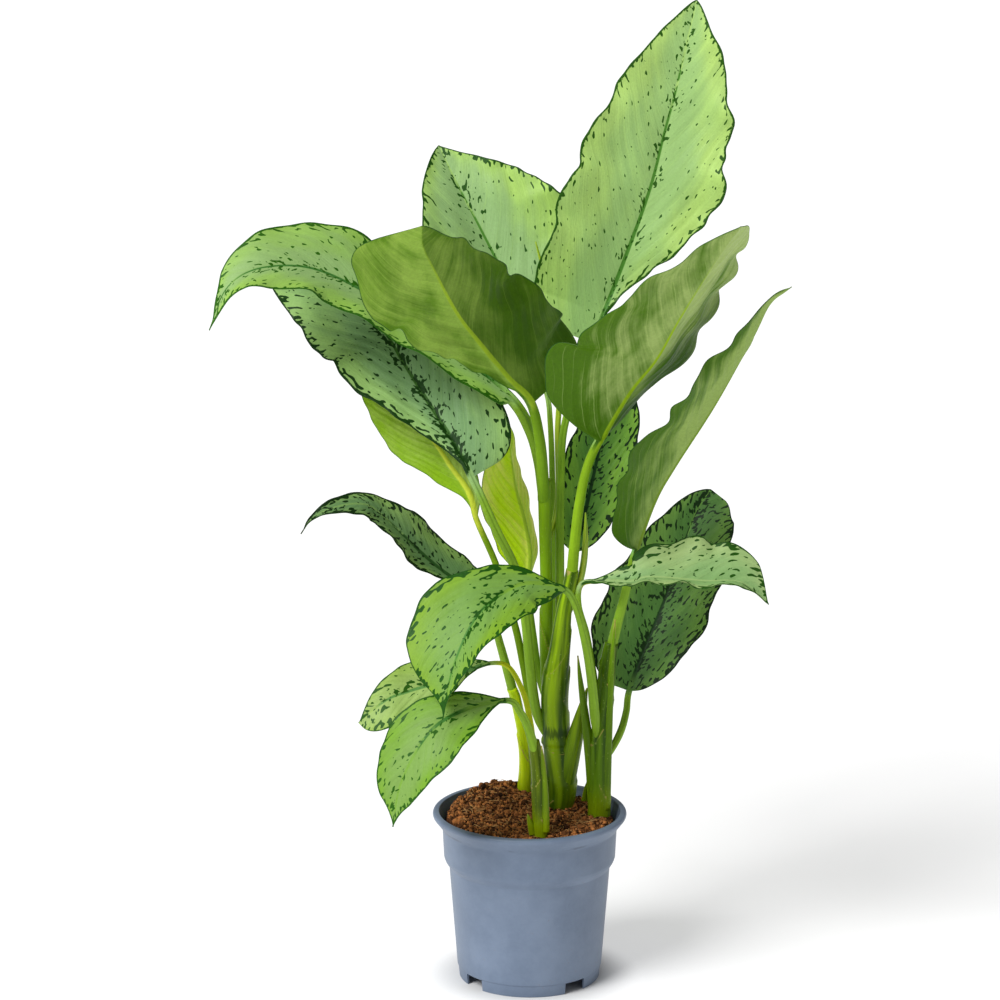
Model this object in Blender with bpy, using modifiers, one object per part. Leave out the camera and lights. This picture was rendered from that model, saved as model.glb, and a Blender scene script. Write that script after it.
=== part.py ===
"""A chinese evergreen in its nursery pot: pot, soil, four shoots, sixteen open leaves and two still rolled.

The origin is the middle of the pot's underside, +Z is up and -Y is the front.
Routes, widths and radii in the tables are in millimetres, and turns and folds in degrees.
"""

import math
from dataclasses import dataclass

import bmesh
import bpy
import numpy as np

# Driving dimensions
MM = 0.001
POT_HEIGHT = 151.0
RIM_RADIUS = 85.0
WALL = 1.5
FLOOR_LEVEL = 11.0
FOOT_RADIUS = 62.8
SOIL_EDGE_LEVEL = 141.0
FIT_GAP = 0.3
LEAF_THICKNESS = 0.9

# Pot details
POT_STEPS = 36
RIM_DROP = 14.0
BAND_RADIUS = 76.4
BAND_TAPER = 1.2
LIP_WIDTH = 5.6
BAND_FOOT_LEVEL = 110.0
SHOULDER_RADIUS = 70.6
SHOULDER_LEVEL = 101.6
TAPER_FOOT_RADIUS = 63.6
# The rim's edge, as steps in from its radius and down from its top
RIM_EDGE = ((2.2, 0.0), (0.7, 0.7), (0.0, 2.4), (0.4, 4.2))
LIP_LEAN = 0.4
LIP_DEPTH = 3.2
BAND_ROUND = 0.6
BAND_TOP_DROP = 1.4
STEP_IN = 1.2
STEP_DOWN = 3.4
INNER_STEP_IN = 1.0
INNER_STEP_DOWN = 2.2
FOOT_LEAN = 1.0
FOOT_STEP = 0.6
PAD_RADIUS = 13.0
PAD_SLOPE = 3.0
PAD_WALL = 0.8
NOTCH_ANGLES = (-51.6, 39.4, 129.0, 219.0)
NOTCH_WIDTH = 21.0
NOTCH_DEPTH = 12.0
NOTCH_HEIGHT = 10.2
DRAIN_HOLES = 8
DRAIN_RADIUS = 4.0
DRAIN_CIRCLE = 40.0
DRAIN_SIDES = 12

# Soil details
SOIL_CROWN = 3.0
SOIL_HEAP = 15.0
SOIL_HEAP_PLACE = (-26.0, 54.0)
SOIL_HEAP_SPREAD = 28.0
SOIL_RINGS = 8
SOIL_BUMP = 0.8
SOIL_STEEPNESS = 6.0
# Waves that bump the soil: radians to a millimetre along X and along Y, and where each starts
SOIL_WAVES = ((0.41, 0.23, 0.0), (0.19, -0.47, 1.3), (0.61, 0.52, 2.1))
TOP_TOLERANCE = 0.05

# Colour and roughness of each kind of surface
POT_LOOK = ((0.17, 0.23, 0.33), 0.45)
SOIL_LOOK = ((0.13, 0.06, 0.03), 0.95)
STEM_LOOK = ((0.16, 0.33, 0.04), 0.5)
PALE_LEAF_LOOK = ((0.34, 0.56, 0.2), 0.45)
LEAF_LOOKS = {
    ("leaf_05", "leaf_08", "leaf_11", "leaf_14"): ((0.14, 0.3, 0.12), 0.4),
    ("leaf_03", "leaf_12", "leaf_13"): ((0.13, 0.25, 0.03), 0.5),
    ("leaf_06", "leaf_07", "leaf_17", "leaf_18"): ((0.35, 0.55, 0.06), 0.5),
}

# Leaf sections run across the blade at these shares of the half width
MID_COLUMN_ON_BLADE = 0.56
MID_COLUMN_ON_STALK = 0.76
RIB_SHARE = 0.08
RIB_SHARE_ON_STALK = 0.4
TIP_HALF_WIDTH = 0.8
RIB_END = 0.9
RIB_FADE = 1.5
WAVE_FADE = 0.7
ROUTE_STEPS = 24
STEM_SPACING = 15.0
FEWEST_STEM_STEPS = 6
WELD_DISTANCE = 1e-6
STEM_ROUNDNESS = 4
ROLLED_ROUNDNESS = 2
SHEATH_TAPER = 0.8
SHEATH_STATIONS = 8
SHEATH_COLUMNS = 5
SHEATH_THICKNESS = 1.4


@dataclass
class Leaf:
    """One leaf: its stalk from the stem, its midrib from base to tip, and how its blade lies.

    left and right are seen from the upper face with the tip up. Each is the half width, the share of the
    length where that half is widest, and how blunt its base and its tip are, low numbers being the bluntest.
    A turn of 0 shows the upper face to the front, and 180 the underside.
    fold is how far each half rises from the midrib. ripple is the number of waves along a margin, their
    height, and the share of the half width by which they reach out. phase is where the waves of the left
    and of the right margin start.
    """

    stem: str
    stalk: tuple
    blade: tuple
    left: tuple
    right: tuple
    turn: tuple
    fold: float
    ripple: tuple
    stalk_radius: tuple
    stations: int
    phase: tuple = (0.0, 0.37)


@dataclass
class Sheath:
    """A pointed sheath that wraps the stem it grows from: its middle line, and its half width at the foot."""

    stem: str
    route: tuple
    half_width: float
    turn: float
    fold: float


STEMS = {
    "stem_centre": (
        (24, 28, 106, 9.0), (24, 28, 137, 11.0), (27, 28, 150, 13.5), (28, 28, 169, 14.3),
        (26, 28, 188, 13.4), (24.5, 28, 202, 12.8), (24, 27.5, 207, 13.8), (23.5, 27, 213, 12.6),
        (22, 26, 243, 12.6), (23.5, 24, 268, 11.8), (26, 22, 290, 9.8), (30, 18, 328, 7.2),
        (34.5, 15.5, 350, 6.0), (37, 14, 364, 5.4),
    ),
    "stem_rear": (
        (20, 31, 216, 4.8), (16, 38, 243, 5.8), (14.5, 41, 291, 6.0), (15, 40, 329, 6.0),
        (14, 38, 366, 5.8), (13, 33, 404, 5.8), (12, 28, 441, 5.6),
    ),
    "stem_right": (
        (58, 8, 110, 8.5), (60.5, 8, 138, 10.2), (61, 8, 150, 10.3), (62, 8, 197, 9.5),
        (63, 8, 231, 9.0), (66, 8, 258, 8.2), (68, 8, 285, 7.2), (70.5, 7, 301, 6.2),
    ),
    "stem_front": (
        (8.5, -52, 110, 5.6), (8.5, -52, 139, 6.2), (8, -52, 158, 6.8), (7, -52, 198, 6.6),
        (4.5, -52, 220, 6.0), (3, -52.5, 230, 5.2),
    ),
    "stem_left": (
        (-4.5, 50, 110, 6.4), (-4.5, 50, 148, 7.0), (-3.5, 50, 176, 5.8), (-5, 46, 201, 5.4),
        (-12, 40, 239, 5.0), (-16, 37, 251, 4.5),
    ),
}

# The rear stalk parts from the centre stem above the soil, and the two are one body
MIDDLE_STEMS = ("stem_centre", "stem_rear")

# Young leaves, still rolled: a route whose points carry their own radius
ROLLED_LEAVES = {
    "leaf_17": (
        "stem_rear",
        (
            (13, 37, 370, 2.6), (18, 48, 388, 2.6), (23, 57, 403, 2.6), (25, 61, 428, 2.6),
            (24.5, 62, 478, 2.6), (27, 65, 528, 2.5), (21, 74, 578, 2.1), (12, 81, 613, 1.5),
            (5, 86, 640, 0.6),
        ),
    ),
    "leaf_18": (
        "stem_centre",
        (
            (32, 19, 320, 2.6), (41, 21, 344, 2.9), (46, 19.5, 366, 3.0), (48, 18, 390, 2.4),
            (48, 18, 414, 0.6),
        ),
    ),
}

SHEATHS = {
    "sheath_centre": Sheath(
        "stem_centre",
        ((31, 17, 152), (34, 16, 170), (40, 15, 201), (46, 14, 233), (50, 13, 258)),
        13, 200, 40,
    ),
    "sheath_spear": Sheath(
        "stem_right", ((57, 5, 150), (54, 5, 190), (49, 5, 232), (44, 4, 268), (41.5, 3, 290)), 6.5, 190, 40
    ),
    "sheath_foot": Sheath(
        "stem_right", ((49, 20, 152), (51, 17, 164), (56, 13, 180), (61, 9, 197)), 3.5, 200, 35
    ),
    "sheath_right": Sheath(
        "stem_right", ((66, 0, 150), (67, 0, 198), (69.5, 0, 260), (73.5, -3, 324)), 6, 175, 40
    ),
    "sheath_front": Sheath(
        "stem_front", ((12, -58, 149), (12, -58, 173), (11, -58, 203), (9.5, -61, 228)), 5, 165, 40
    ),
    "sheath_front_low": Sheath(
        "stem_front", ((3, -56, 147), (1, -57, 155), (-2.5, -58, 166)), 4, 210, 35
    ),
}

LEAVES = {
    "leaf_01": Leaf(
        stem="stem_centre",
        stalk=((25, 30, 260), (27, 44, 298), (26.5, 47, 362), (27, 50, 434), (31, 58, 486)),
        blade=(
            (54, 66, 554), (82, 80, 625), (104, 92, 685), (116, 100, 731), (127, 107, 772),
            (144, 116, 846),
        ),
        left=(73, 0.36, 0.17, 0.66), right=(61, 0.5, 2.4, 0.68),
        turn=(4, 0, -4), fold=12, ripple=(5, 4.0, 0.05),
        stalk_radius=(4.4, 2.9), stations=22, phase=(0.23, 0.6),
    ),
    "leaf_02": Leaf(
        stem="stem_centre",
        stalk=(
            (25, 30, 238), (27, 46, 260), (23, 57, 298), (21, 64, 343), (20, 69, 428),
            (18, 69, 482),
        ),
        blade=(
            (14, 68, 512), (-4, 80, 559), (-17, 92, 597), (-43, 112, 647), (-64, 128, 685),
            (-80, 142, 717),
        ),
        left=(66, 0.5, 0.6, 0.75), right=(78, 0.56, 0.6, 1.05),
        turn=(22, 22, 22), fold=18, ripple=(4, 3.0, 0.03),
        stalk_radius=(3.6, 2.3), stations=18, phase=(0.3, 0.67),
    ),
    "leaf_03": Leaf(
        stem="stem_rear",
        stalk=((12, 30, 423), (11, 17, 445), (8, 9, 480)),
        blade=(
            (0, 3, 514), (-19, -14, 538), (-42, -38, 571), (-61, -64, 601), (-80, -108, 646),
            (-88, -130, 670), (-89, -163, 695),
        ),
        left=(72, 0.15, 0.3, 0.55), right=(64, 0.8, 0.42, 0.08),
        turn=(205, 205, 200), fold=-8, ripple=(4, 3.5, 0.05),
        stalk_radius=(5.4, 4.2), stations=22, phase=(0.6, 0.97),
    ),
    "leaf_04": Leaf(
        stem="stem_rear",
        stalk=((12, 32, 428), (8, 36, 456), (0, 26, 485)),
        blade=(
            (-16, 15, 514), (-52, 10, 547), (-94, 8, 579), (-136, 6, 606), (-174, 2, 626),
            (-203, -6, 633), (-235, -16, 630), (-256, -24, 615), (-270, -30, 582),
        ),
        left=(36, 0.58, 0.28, 0.45), right=(48, 0.57, 0.7, 1.45),
        turn=(45, 50, 55), fold=12, ripple=(5, 3.0, 0.03),
        stalk_radius=(5.4, 4.8), stations=22,
    ),
    "leaf_05": Leaf(
        stem="stem_centre",
        stalk=((18, 28, 203), (6, 26, 233), (0, 22, 278), (-4, 16, 320), (-13, 5, 367), (-30, -6, 406)),
        blade=(
            (-50, -12, 452), (-68, 4, 483), (-88, 22, 511), (-109, 40, 541), (-131, 55, 573),
            (-169, 66, 605), (-224, 74, 634),
        ),
        left=(57, 0.58, 1.05, 0.47), right=(54, 0.25, 0.45, 0.92),
        turn=(22, 20, 10), fold=8, ripple=(4, 2.5, 0.04),
        stalk_radius=(4.6, 3.6), stations=22, phase=(0.2, 0.57),
    ),
    "leaf_06": Leaf(
        stem="stem_centre",
        stalk=((17, 34, 210), (2, 42, 236), (-5, 39, 270), (-13, 30, 310), (-29, 20, 366)),
        blade=(
            (-46, 14, 408), (-53, 17, 432), (-68, 26, 452), (-80, 34, 469), (-97, 46, 490),
            (-115, 60, 513), (-161, 86, 576),
        ),
        left=(30, 0.5, 0.9, 0.92), right=(35, 0.5, 1.5, 1.2),
        turn=(200, 200, 195), fold=12, ripple=(3, 2.0, 0.03),
        stalk_radius=(3.8, 2.6), stations=14, phase=(0.5, 0.87),
    ),
    "leaf_07": Leaf(
        stem="stem_rear",
        stalk=((15, 42, 233), (8, 48, 262), (4, 51, 290), (0, 53, 323)),
        blade=(
            (-1, 54, 349), (0, 54, 371), (-5, 56, 399), (-12, 58, 426), (-18, 61, 466),
            (-26, 64, 508),
        ),
        left=(18, 0.4, 0.6, 0.9), right=(36, 0.4, 0.6, 0.9),
        turn=(225, 228, 230), fold=19, ripple=(3, 2.0, 0.04),
        stalk_radius=(3.6, 2.6), stations=14, phase=(0.4, 0.77),
    ),
    "leaf_08": Leaf(
        stem="stem_left",
        stalk=((-13, 40, 241), (-25, 28, 290), (-33, 14, 321)),
        blade=(
            (-45, -2, 348), (-65, -8, 361), (-88, -14, 381), (-126, -36, 424), (-142, -46, 436),
            (-165, -58, 436), (-188, -68, 423),
        ),
        left=(18, 0.42, 1.6, 0.8), right=(27, 0.2, 0.45, 0.9),
        turn=(53, 53, 60), fold=11, ripple=(2.5, 3.0, 0.12),
        stalk_radius=(4.4, 2.6), stations=18, phase=(0.05, 0.05),
    ),
    "leaf_09": Leaf(
        stem="stem_right",
        stalk=((59, 5, 210), (56, -6, 242), (53, -12, 273), (48, -17, 305), (40, -23, 338)),
        blade=(
            (30, -30, 357), (8, -42, 366), (-14, -54, 366), (-44, -80, 349), (-64, -102, 312),
            (-74, -114, 267),
        ),
        left=(39, 0.48, 0.85, 1.8), right=(52, 0.62, 1.1, 1.3),
        turn=(43, 43, 38), fold=14, ripple=(4, 2.0, 0.03),
        stalk_radius=(4.8, 3.0), stations=18, phase=(0.7, 0.07),
    ),
    "leaf_10": Leaf(
        stem="stem_right",
        stalk=((60, 10, 243), (54, 13, 278), (49, 9, 308), (42, 1, 336)),
        blade=(
            (44, -6, 356), (60, -14, 361), (86, -24, 363), (103, -28, 368), (148, -30, 365),
            (180, -28, 363), (204, -28, 344),
        ),
        left=(38, 0.6, 1.3, 0.85), right=(26, 0.5, 2.0, 1.0),
        turn=(-62, -62, -58), fold=33, ripple=(5, 2.5, 0.05),
        stalk_radius=(3.6, 2.4), stations=18, phase=(0.3, 0.67),
    ),
    "leaf_11": Leaf(
        stem="stem_right",
        stalk=((64, 10, 188), (79, 20, 214), (85, 30, 231)),
        blade=(
            (88, 40, 248), (101, 54, 280), (121, 70, 326), (141, 86, 381), (151, 93, 403),
            (161, 96, 417),
        ),
        left=(52, 0.34, 0.5, 0.7), right=(46, 0.5, 0.48, 0.22),
        turn=(-18, -18, -10), fold=14, ripple=(4, 2.0, 0.05),
        stalk_radius=(3.8, 2.8), stations=18, phase=(0.1, 0.47),
    ),
    "leaf_12": Leaf(
        stem="stem_right",
        stalk=((69, 8, 288), (75, 5, 316), (82, 2, 346)),
        blade=(
            (91, -3, 387), (106, -12, 432), (122, -20, 463), (155, -34, 519), (185, -46, 578),
            (199, -50, 608), (216, -54, 623),
        ),
        left=(44, 0.34, 0.6, 0.92), right=(59, 0.3, 1.0, 0.9),
        turn=(247, 247, 247), fold=21, ripple=(3.3, 3.5, 0.12),
        stalk_radius=(4.8, 3.4), stations=20, phase=(0.5, 0.0),
    ),
    "leaf_13": Leaf(
        stem="stem_centre",
        stalk=((36.3, 14.4, 359), (38.5, 8, 390), (42, -2, 426), (48, -14, 460)),
        blade=(
            (58, -26, 487), (83, -46, 533), (103, -66, 563), (119, -90, 598), (136, -114, 633),
            (152, -134, 664), (166, -150, 687),
        ),
        left=(72, 0.4, 1.5, 0.5), right=(88, 0.26, 2.0, 0.9),
        turn=(226, 226, 226), fold=19, ripple=(5, 3.0, 0.07),
        stalk_radius=(4.9, 3.8), stations=22, phase=(0.55, 0.6),
    ),
    "leaf_14": Leaf(
        stem="stem_centre",
        stalk=((30, 20, 304), (34, 38, 329), (37, 56, 352)),
        blade=(
            (40, 62, 369), (48, 74, 397), (58, 86, 439), (66, 94, 478), (70, 100, 517),
            (74, 104, 548),
        ),
        left=(29, 0.36, 0.6, 0.8), right=(34, 0.45, 0.6, 0.6),
        turn=(0, 0, 0), fold=12, ripple=(3, 2.0, 0.04),
        stalk_radius=(3.4, 2.6), stations=14, phase=(0.6, 0.97),
    ),
    "leaf_15": Leaf(
        stem="stem_front",
        stalk=((4, -53, 221), (-2, -58, 243), (-9, -64, 259)),
        blade=(
            (-20, -74, 272), (-55, -94, 270), (-85, -108, 254), (-108, -118, 215), (-116, -120, 175),
        ),
        left=(35, 0.5, 1.4, 1.05), right=(33, 0.58, 0.9, 1.1),
        turn=(39, 39, 35), fold=5, ripple=(3, 1.5, 0.03),
        stalk_radius=(4.4, 2.6), stations=16, phase=(0.3, 0.67),
    ),
    "leaf_16": Leaf(
        stem="stem_front",
        stalk=((4, -49, 218), (0, -36, 242), (-6, -30, 266), (-18, -28, 288)),
        blade=(
            (-33, -28, 292), (-52, -30, 286), (-77, -34, 277), (-103, -38, 270), (-124, -44, 263),
            (-147, -50, 245),
        ),
        left=(28, 0.6, 1.5, 0.35), right=(24, 0.5, 0.9, 1.1),
        turn=(35, 35, 30), fold=5, ripple=(3, 1.5, 0.03),
        stalk_radius=(3.0, 1.9), stations=12,
    ),
}


def clear_scene():
    for thing in list(bpy.data.objects):
        bpy.data.objects.remove(thing, do_unlink=True)


def new_collection(name):
    collection = bpy.data.collections.new(name)
    bpy.context.scene.collection.children.link(collection)
    return collection


def new_material(name, colour, roughness):
    material = bpy.data.materials.new(name)
    material.use_nodes = True
    shader = material.node_tree.nodes["Principled BSDF"]
    shader.inputs["Base Color"].default_value = (*colour, 1.0)
    shader.inputs["Roughness"].default_value = roughness
    shader.inputs["Metallic"].default_value = 0.0
    return material


def smooth_route(points, steps=ROUTE_STEPS):
    """A curve through the points, each span a cubic whose slopes follow the points on either side."""
    points = np.asarray(points, dtype=float)
    padded = np.vstack([2 * points[0] - points[1], points, 2 * points[-1] - points[-2]])
    step = np.linspace(0.0, 1.0, steps, endpoint=False)[:, None]
    spans = []
    for before, start, end, after in zip(padded, padded[1:], padded[2:], padded[3:]):
        spans.append(
            0.5
            * (
                2 * start
                + (end - before) * step
                + (2 * before - 5 * start + 4 * end - after) * step**2
                + (3 * start - before - 3 * end + after) * step**3
            )
        )
    return np.vstack([*spans, points[-1:]])


def along(route, shares):
    """Points of the route at these shares of its length."""
    steps = np.linalg.norm(np.diff(route, axis=0), axis=1)
    reached = np.concatenate([[0.0], np.cumsum(steps)])
    wanted = np.asarray(shares) * reached[-1]
    return np.stack([np.interp(wanted, reached, route[:, axis]) for axis in range(route.shape[1])], axis=1)


def unit(vectors):
    return vectors / np.linalg.norm(vectors, axis=-1, keepdims=True)


def blade_shares(stations):
    """Even steps along the blade, drawn a little closer at its base and its tip."""
    even = np.linspace(0.0, 1.0, stations)
    return 0.5 * even + 0.25 * (1.0 - np.cos(math.pi * even))


def half_width(side, shares):
    """Half width along one side of a blade, from its base to a drawn-out tip."""
    greatest, widest, base, tip = side
    power = math.log(0.5) / math.log(widest)
    swell = np.clip(np.sin(math.pi * np.clip(shares, 0.0, 1.0) ** power), 0.0, 1.0)
    return greatest * np.where(shares < widest, swell**base, swell**tip)


def leaf_line(leaf):
    """Centre line of a leaf, stalk first, with the share of the blade and of the stalk at each station."""
    stalk_route = smooth_route([*leaf.stalk, *leaf.blade[:2]])[: ROUTE_STEPS * len(leaf.stalk) + 1]
    blade_route = smooth_route([leaf.stalk[-1], *leaf.blade])[ROUTE_STEPS:]
    stalk_share = np.linspace(0.0, 1.0, len(leaf.stalk) + 2)
    blade_share = blade_shares(leaf.stations)
    centres = np.vstack([along(stalk_route, stalk_share)[:-1], along(blade_route, blade_share)])
    on_stalk = np.concatenate([stalk_share[:-1], np.ones(len(blade_share))])
    on_blade = np.concatenate([np.full(len(stalk_share) - 1, -1.0), blade_share])
    return centres, on_stalk, on_blade


def directions(centres, turn):
    """Across and up of a blade whose upper face turns away from the front by these angles."""
    tangent = unit(np.gradient(centres, axis=0))
    front = np.array([0.0, -1.0, 0.0])
    toward = unit(front - (tangent @ front)[:, None] * tangent)
    sideways = np.cross(tangent, toward)
    angle = np.radians(turn)[:, None]
    across = np.cos(angle) * sideways - np.sin(angle) * toward
    up = np.cos(angle) * toward + np.sin(angle) * sideways
    return across, up


def thicken(middle, up, top, bottom):
    """The two faces of a sheet, this far from its middle surface."""
    normal = unit(np.cross(np.gradient(middle, axis=1), np.gradient(middle, axis=0)))
    facing = np.sum(normal * up[:, None, :], axis=-1, keepdims=True)
    normal = np.where(facing < 0.0, -normal, normal)
    return middle + normal * top[:, :, None], middle - normal * bottom[:, :, None]


def leaf_faces(leaf):
    """Points of the leaf's two faces, as arrays of stations by columns by three."""
    centres, on_stalk, on_blade = leaf_line(leaf)
    turn = np.interp(on_blade, np.linspace(0.0, 1.0, len(leaf.turn)), leaf.turn)
    across, up = directions(centres, turn)
    share = np.clip(on_blade, 0.0, 1.0)
    fade = np.where(on_blade >= 0.0, np.clip(1.0 - share / RIB_END, 0.0, 1.0) ** RIB_FADE, 1.0)
    thin = 0.5 * LEAF_THICKNESS
    rib_radius = np.maximum(np.interp(on_stalk, [0.0, 1.0], leaf.stalk_radius) * fade, thin)

    widths = []
    for side in (leaf.left, leaf.right):
        width = np.where(on_blade >= 0.0, np.maximum(half_width(side, share), TIP_HALF_WIDTH), 0.0)
        widths.append(np.maximum(width, rib_radius))
    left, right = widths
    opened = np.clip((np.minimum(left, right) - rib_radius) / np.minimum(left, right), 0.0, 1.0)
    middle_share = MID_COLUMN_ON_STALK + (MID_COLUMN_ON_BLADE - MID_COLUMN_ON_STALK) * opened
    rib_left = np.clip(rib_radius / left, RIB_SHARE, RIB_SHARE_ON_STALK)
    rib_right = np.clip(rib_radius / right, RIB_SHARE, RIB_SHARE_ON_STALK)
    one = np.ones_like(left)
    columns = np.stack([-one, -middle_share, -rib_left, 0.0 * one, rib_right, middle_share, one], axis=1)
    full = np.where(columns < 0.0, left[:, None], right[:, None])

    waves, height, scallop = leaf.ripple
    phase = np.where(columns < 0.0, leaf.phase[0], leaf.phase[1])
    wave = 2 * math.pi * (waves * share[:, None] + phase)
    envelope = (np.clip(np.sin(math.pi * share), 0.0, 1.0) ** WAVE_FADE * opened)[:, None] * columns**2
    fold = math.radians(leaf.fold) * opened[:, None]
    out = columns * full * np.cos(fold) * (1.0 + scallop * np.cos(wave) * envelope)
    rise = np.abs(columns) * full * np.sin(fold) + height * np.sin(wave) * envelope
    middle = centres[:, None, :] + across[:, None, :] * out[:, :, None] + up[:, None, :] * rise[:, :, None]

    oval = rib_radius[:, None] * np.sqrt(np.clip(1.0 - columns**2, 0.0, 1.0))
    rib_share = np.where(columns < 0.0, rib_left[:, None], rib_right[:, None])
    rib = rib_radius[:, None] * np.clip(1.0 - (np.abs(columns) / rib_share) ** 2, 0.0, 1.0)
    is_blade = opened[:, None] > 0.0
    top = np.where(is_blade, thin, np.maximum(oval, thin))
    bottom = np.where(is_blade, np.maximum(rib, thin), np.maximum(oval, thin))
    return thicken(middle, up, top, bottom)


def sheath_faces(sheath):
    """A pointed boat shape that narrows from its foot to its tip, its open side towards the stem."""
    shares = np.linspace(0.0, 1.0, SHEATH_STATIONS)
    centres = along(smooth_route(sheath.route), shares)
    across, up = directions(centres, np.full(len(shares), float(sheath.turn)))
    width = np.maximum(sheath.half_width * (1.0 - shares**2) ** SHEATH_TAPER, TIP_HALF_WIDTH)[:, None]
    columns = np.linspace(-1.0, 1.0, SHEATH_COLUMNS)[None, :]
    bend = math.radians(sheath.fold) * np.abs(columns)
    out = columns * width * np.cos(bend)
    rise = np.abs(columns) * width * np.sin(bend)
    middle = centres[:, None, :] + across[:, None, :] * out[:, :, None] + up[:, None, :] * rise[:, :, None]
    thin = np.full(middle.shape[:2], 0.5 * SHEATH_THICKNESS)
    return thicken(middle, up, thin, thin)


def sheet_mesh(name, top, bottom):
    """A closed body between two alike grids, each cell split the same way on both faces."""
    rows, columns = top.shape[:2]
    count = rows * columns
    points = np.concatenate([top.reshape(-1, 3), bottom.reshape(-1, 3)]) * MM

    def upper(row, column):
        return row * columns + column

    def lower(row, column):
        return count + upper(row, column)

    faces = []
    for row in range(rows - 1):
        for column in range(columns - 1):
            corners = (row, column), (row, column + 1), (row + 1, column + 1), (row + 1, column)
            a, b, c, d = (upper(*corner) for corner in corners)
            faces += [(a, b, c), (a, c, d)]
            a, b, c, d = (lower(*corner) for corner in corners)
            faces += [(a, c, b), (a, d, c)]
        for column in (0, columns - 1):
            a, b = upper(row, column), upper(row + 1, column)
            c, d = lower(row + 1, column), lower(row, column)
            faces.append((a, b, c, d) if column == 0 else (d, c, b, a))
    for row in (0, rows - 1):
        for column in range(columns - 1):
            a, b = upper(row, column), upper(row, column + 1)
            c, d = lower(row, column + 1), lower(row, column)
            faces.append((d, c, b, a) if row == 0 else (a, b, c, d))
    mesh = bpy.data.meshes.new(name)
    mesh.from_pydata([tuple(point) for point in points], [], faces)
    face_outwards(mesh)
    return mesh


def face_outwards(mesh):
    work = bmesh.new()
    work.from_mesh(mesh)
    bmesh.ops.recalc_face_normals(work, faces=work.faces)
    work.to_mesh(mesh)
    work.free()


def add_object(name, mesh, collection, material=None):
    thing = bpy.data.objects.new(name, mesh)
    collection.objects.link(thing)
    if material is not None:
        mesh.materials.clear()
        mesh.materials.append(material)
        mesh.shade_smooth()
    return thing


def stem_mesh(name, route, grow=0.0, roundness=STEM_ROUNDNESS):
    """A round stem along its route, each point with its own radius, as one closed mesh."""
    route = np.asarray(route, dtype=float)
    fine = smooth_route(route)
    length = np.linalg.norm(np.diff(fine[:, :3], axis=0), axis=1).sum()
    samples = along(fine, np.linspace(0.0, 1.0, max(FEWEST_STEM_STEPS, int(length / STEM_SPACING))))
    curve = bpy.data.curves.new(name, "CURVE")
    curve.dimensions = "3D"
    curve.bevel_depth = MM
    curve.bevel_resolution = roundness
    curve.use_fill_caps = True
    spline = curve.splines.new("POLY")
    spline.points.add(len(samples) - 1)
    first, last = samples[0].copy(), samples[-1].copy()
    samples[0, :3] -= grow * unit(samples[1, :3] - first[:3])
    samples[-1, :3] += grow * unit(last[:3] - samples[-2, :3])
    for point, (x, y, z, radius) in zip(spline.points, samples):
        point.co = (x * MM, y * MM, z * MM, 1.0)
        point.radius = radius + grow
    guide = bpy.data.objects.new(name, curve)
    bpy.context.scene.collection.objects.link(guide)
    bpy.context.view_layer.update()
    evaluated = guide.evaluated_get(bpy.context.evaluated_depsgraph_get())
    mesh = bpy.data.meshes.new_from_object(evaluated)
    bpy.data.objects.remove(guide, do_unlink=True)
    work = bmesh.new()
    work.from_mesh(mesh)
    bmesh.ops.remove_doubles(work, verts=work.verts, dist=WELD_DISTANCE)
    bmesh.ops.recalc_face_normals(work, faces=work.faces)
    work.to_mesh(mesh)
    work.free()
    return mesh


def cut(thing, cutter, operation="DIFFERENCE"):
    """Take the cutter out of a piece, or join it on."""
    modifier = thing.modifiers.new(cutter.name, "BOOLEAN")
    modifier.object = cutter
    modifier.operation = operation
    modifier.solver = "EXACT"


def turned(name, profile, steps):
    """A turned shape: the closed profile of radius and height, spun around the Z axis."""
    mesh = bpy.data.meshes.new(name)
    points = [(radius * MM, 0.0, height * MM) for radius, height in profile]
    edges = [(index, index + 1) for index in range(len(points) - 1)]
    if profile[-1][0] > 0.0:
        edges.append((len(points) - 1, 0))
    mesh.from_pydata(points, edges, [])
    thing = bpy.data.objects.new(name, mesh)
    bpy.context.scene.collection.objects.link(thing)
    screw = thing.modifiers.new("turn", "SCREW")
    screw.steps = steps
    screw.render_steps = steps
    screw.use_merge_vertices = True
    screw.merge_threshold = WELD_DISTANCE
    bpy.context.view_layer.update()
    evaluated = thing.evaluated_get(bpy.context.evaluated_depsgraph_get())
    result = bpy.data.meshes.new_from_object(evaluated)
    bpy.data.objects.remove(thing, do_unlink=True)
    face_outwards(result)
    return result


def pot_outer_profile():
    """Outside of the pot from the top of its lip down to its foot."""
    band_top = POT_HEIGHT - RIM_DROP
    band_foot = BAND_RADIUS - BAND_TAPER
    lip = [(RIM_RADIUS - inward, POT_HEIGHT - down) for inward, down in RIM_EDGE]
    return lip + [
        (BAND_RADIUS + BAND_ROUND, band_top), (BAND_RADIUS, band_top - BAND_TOP_DROP),
        (band_foot, BAND_FOOT_LEVEL), (band_foot - STEP_IN, BAND_FOOT_LEVEL - STEP_DOWN),
        (SHOULDER_RADIUS, SHOULDER_LEVEL), (TAPER_FOOT_RADIUS, FLOOR_LEVEL),
        (FOOT_RADIUS, FLOOR_LEVEL - FOOT_STEP), (FOOT_RADIUS - FOOT_LEAN, 0.0),
    ]


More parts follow.
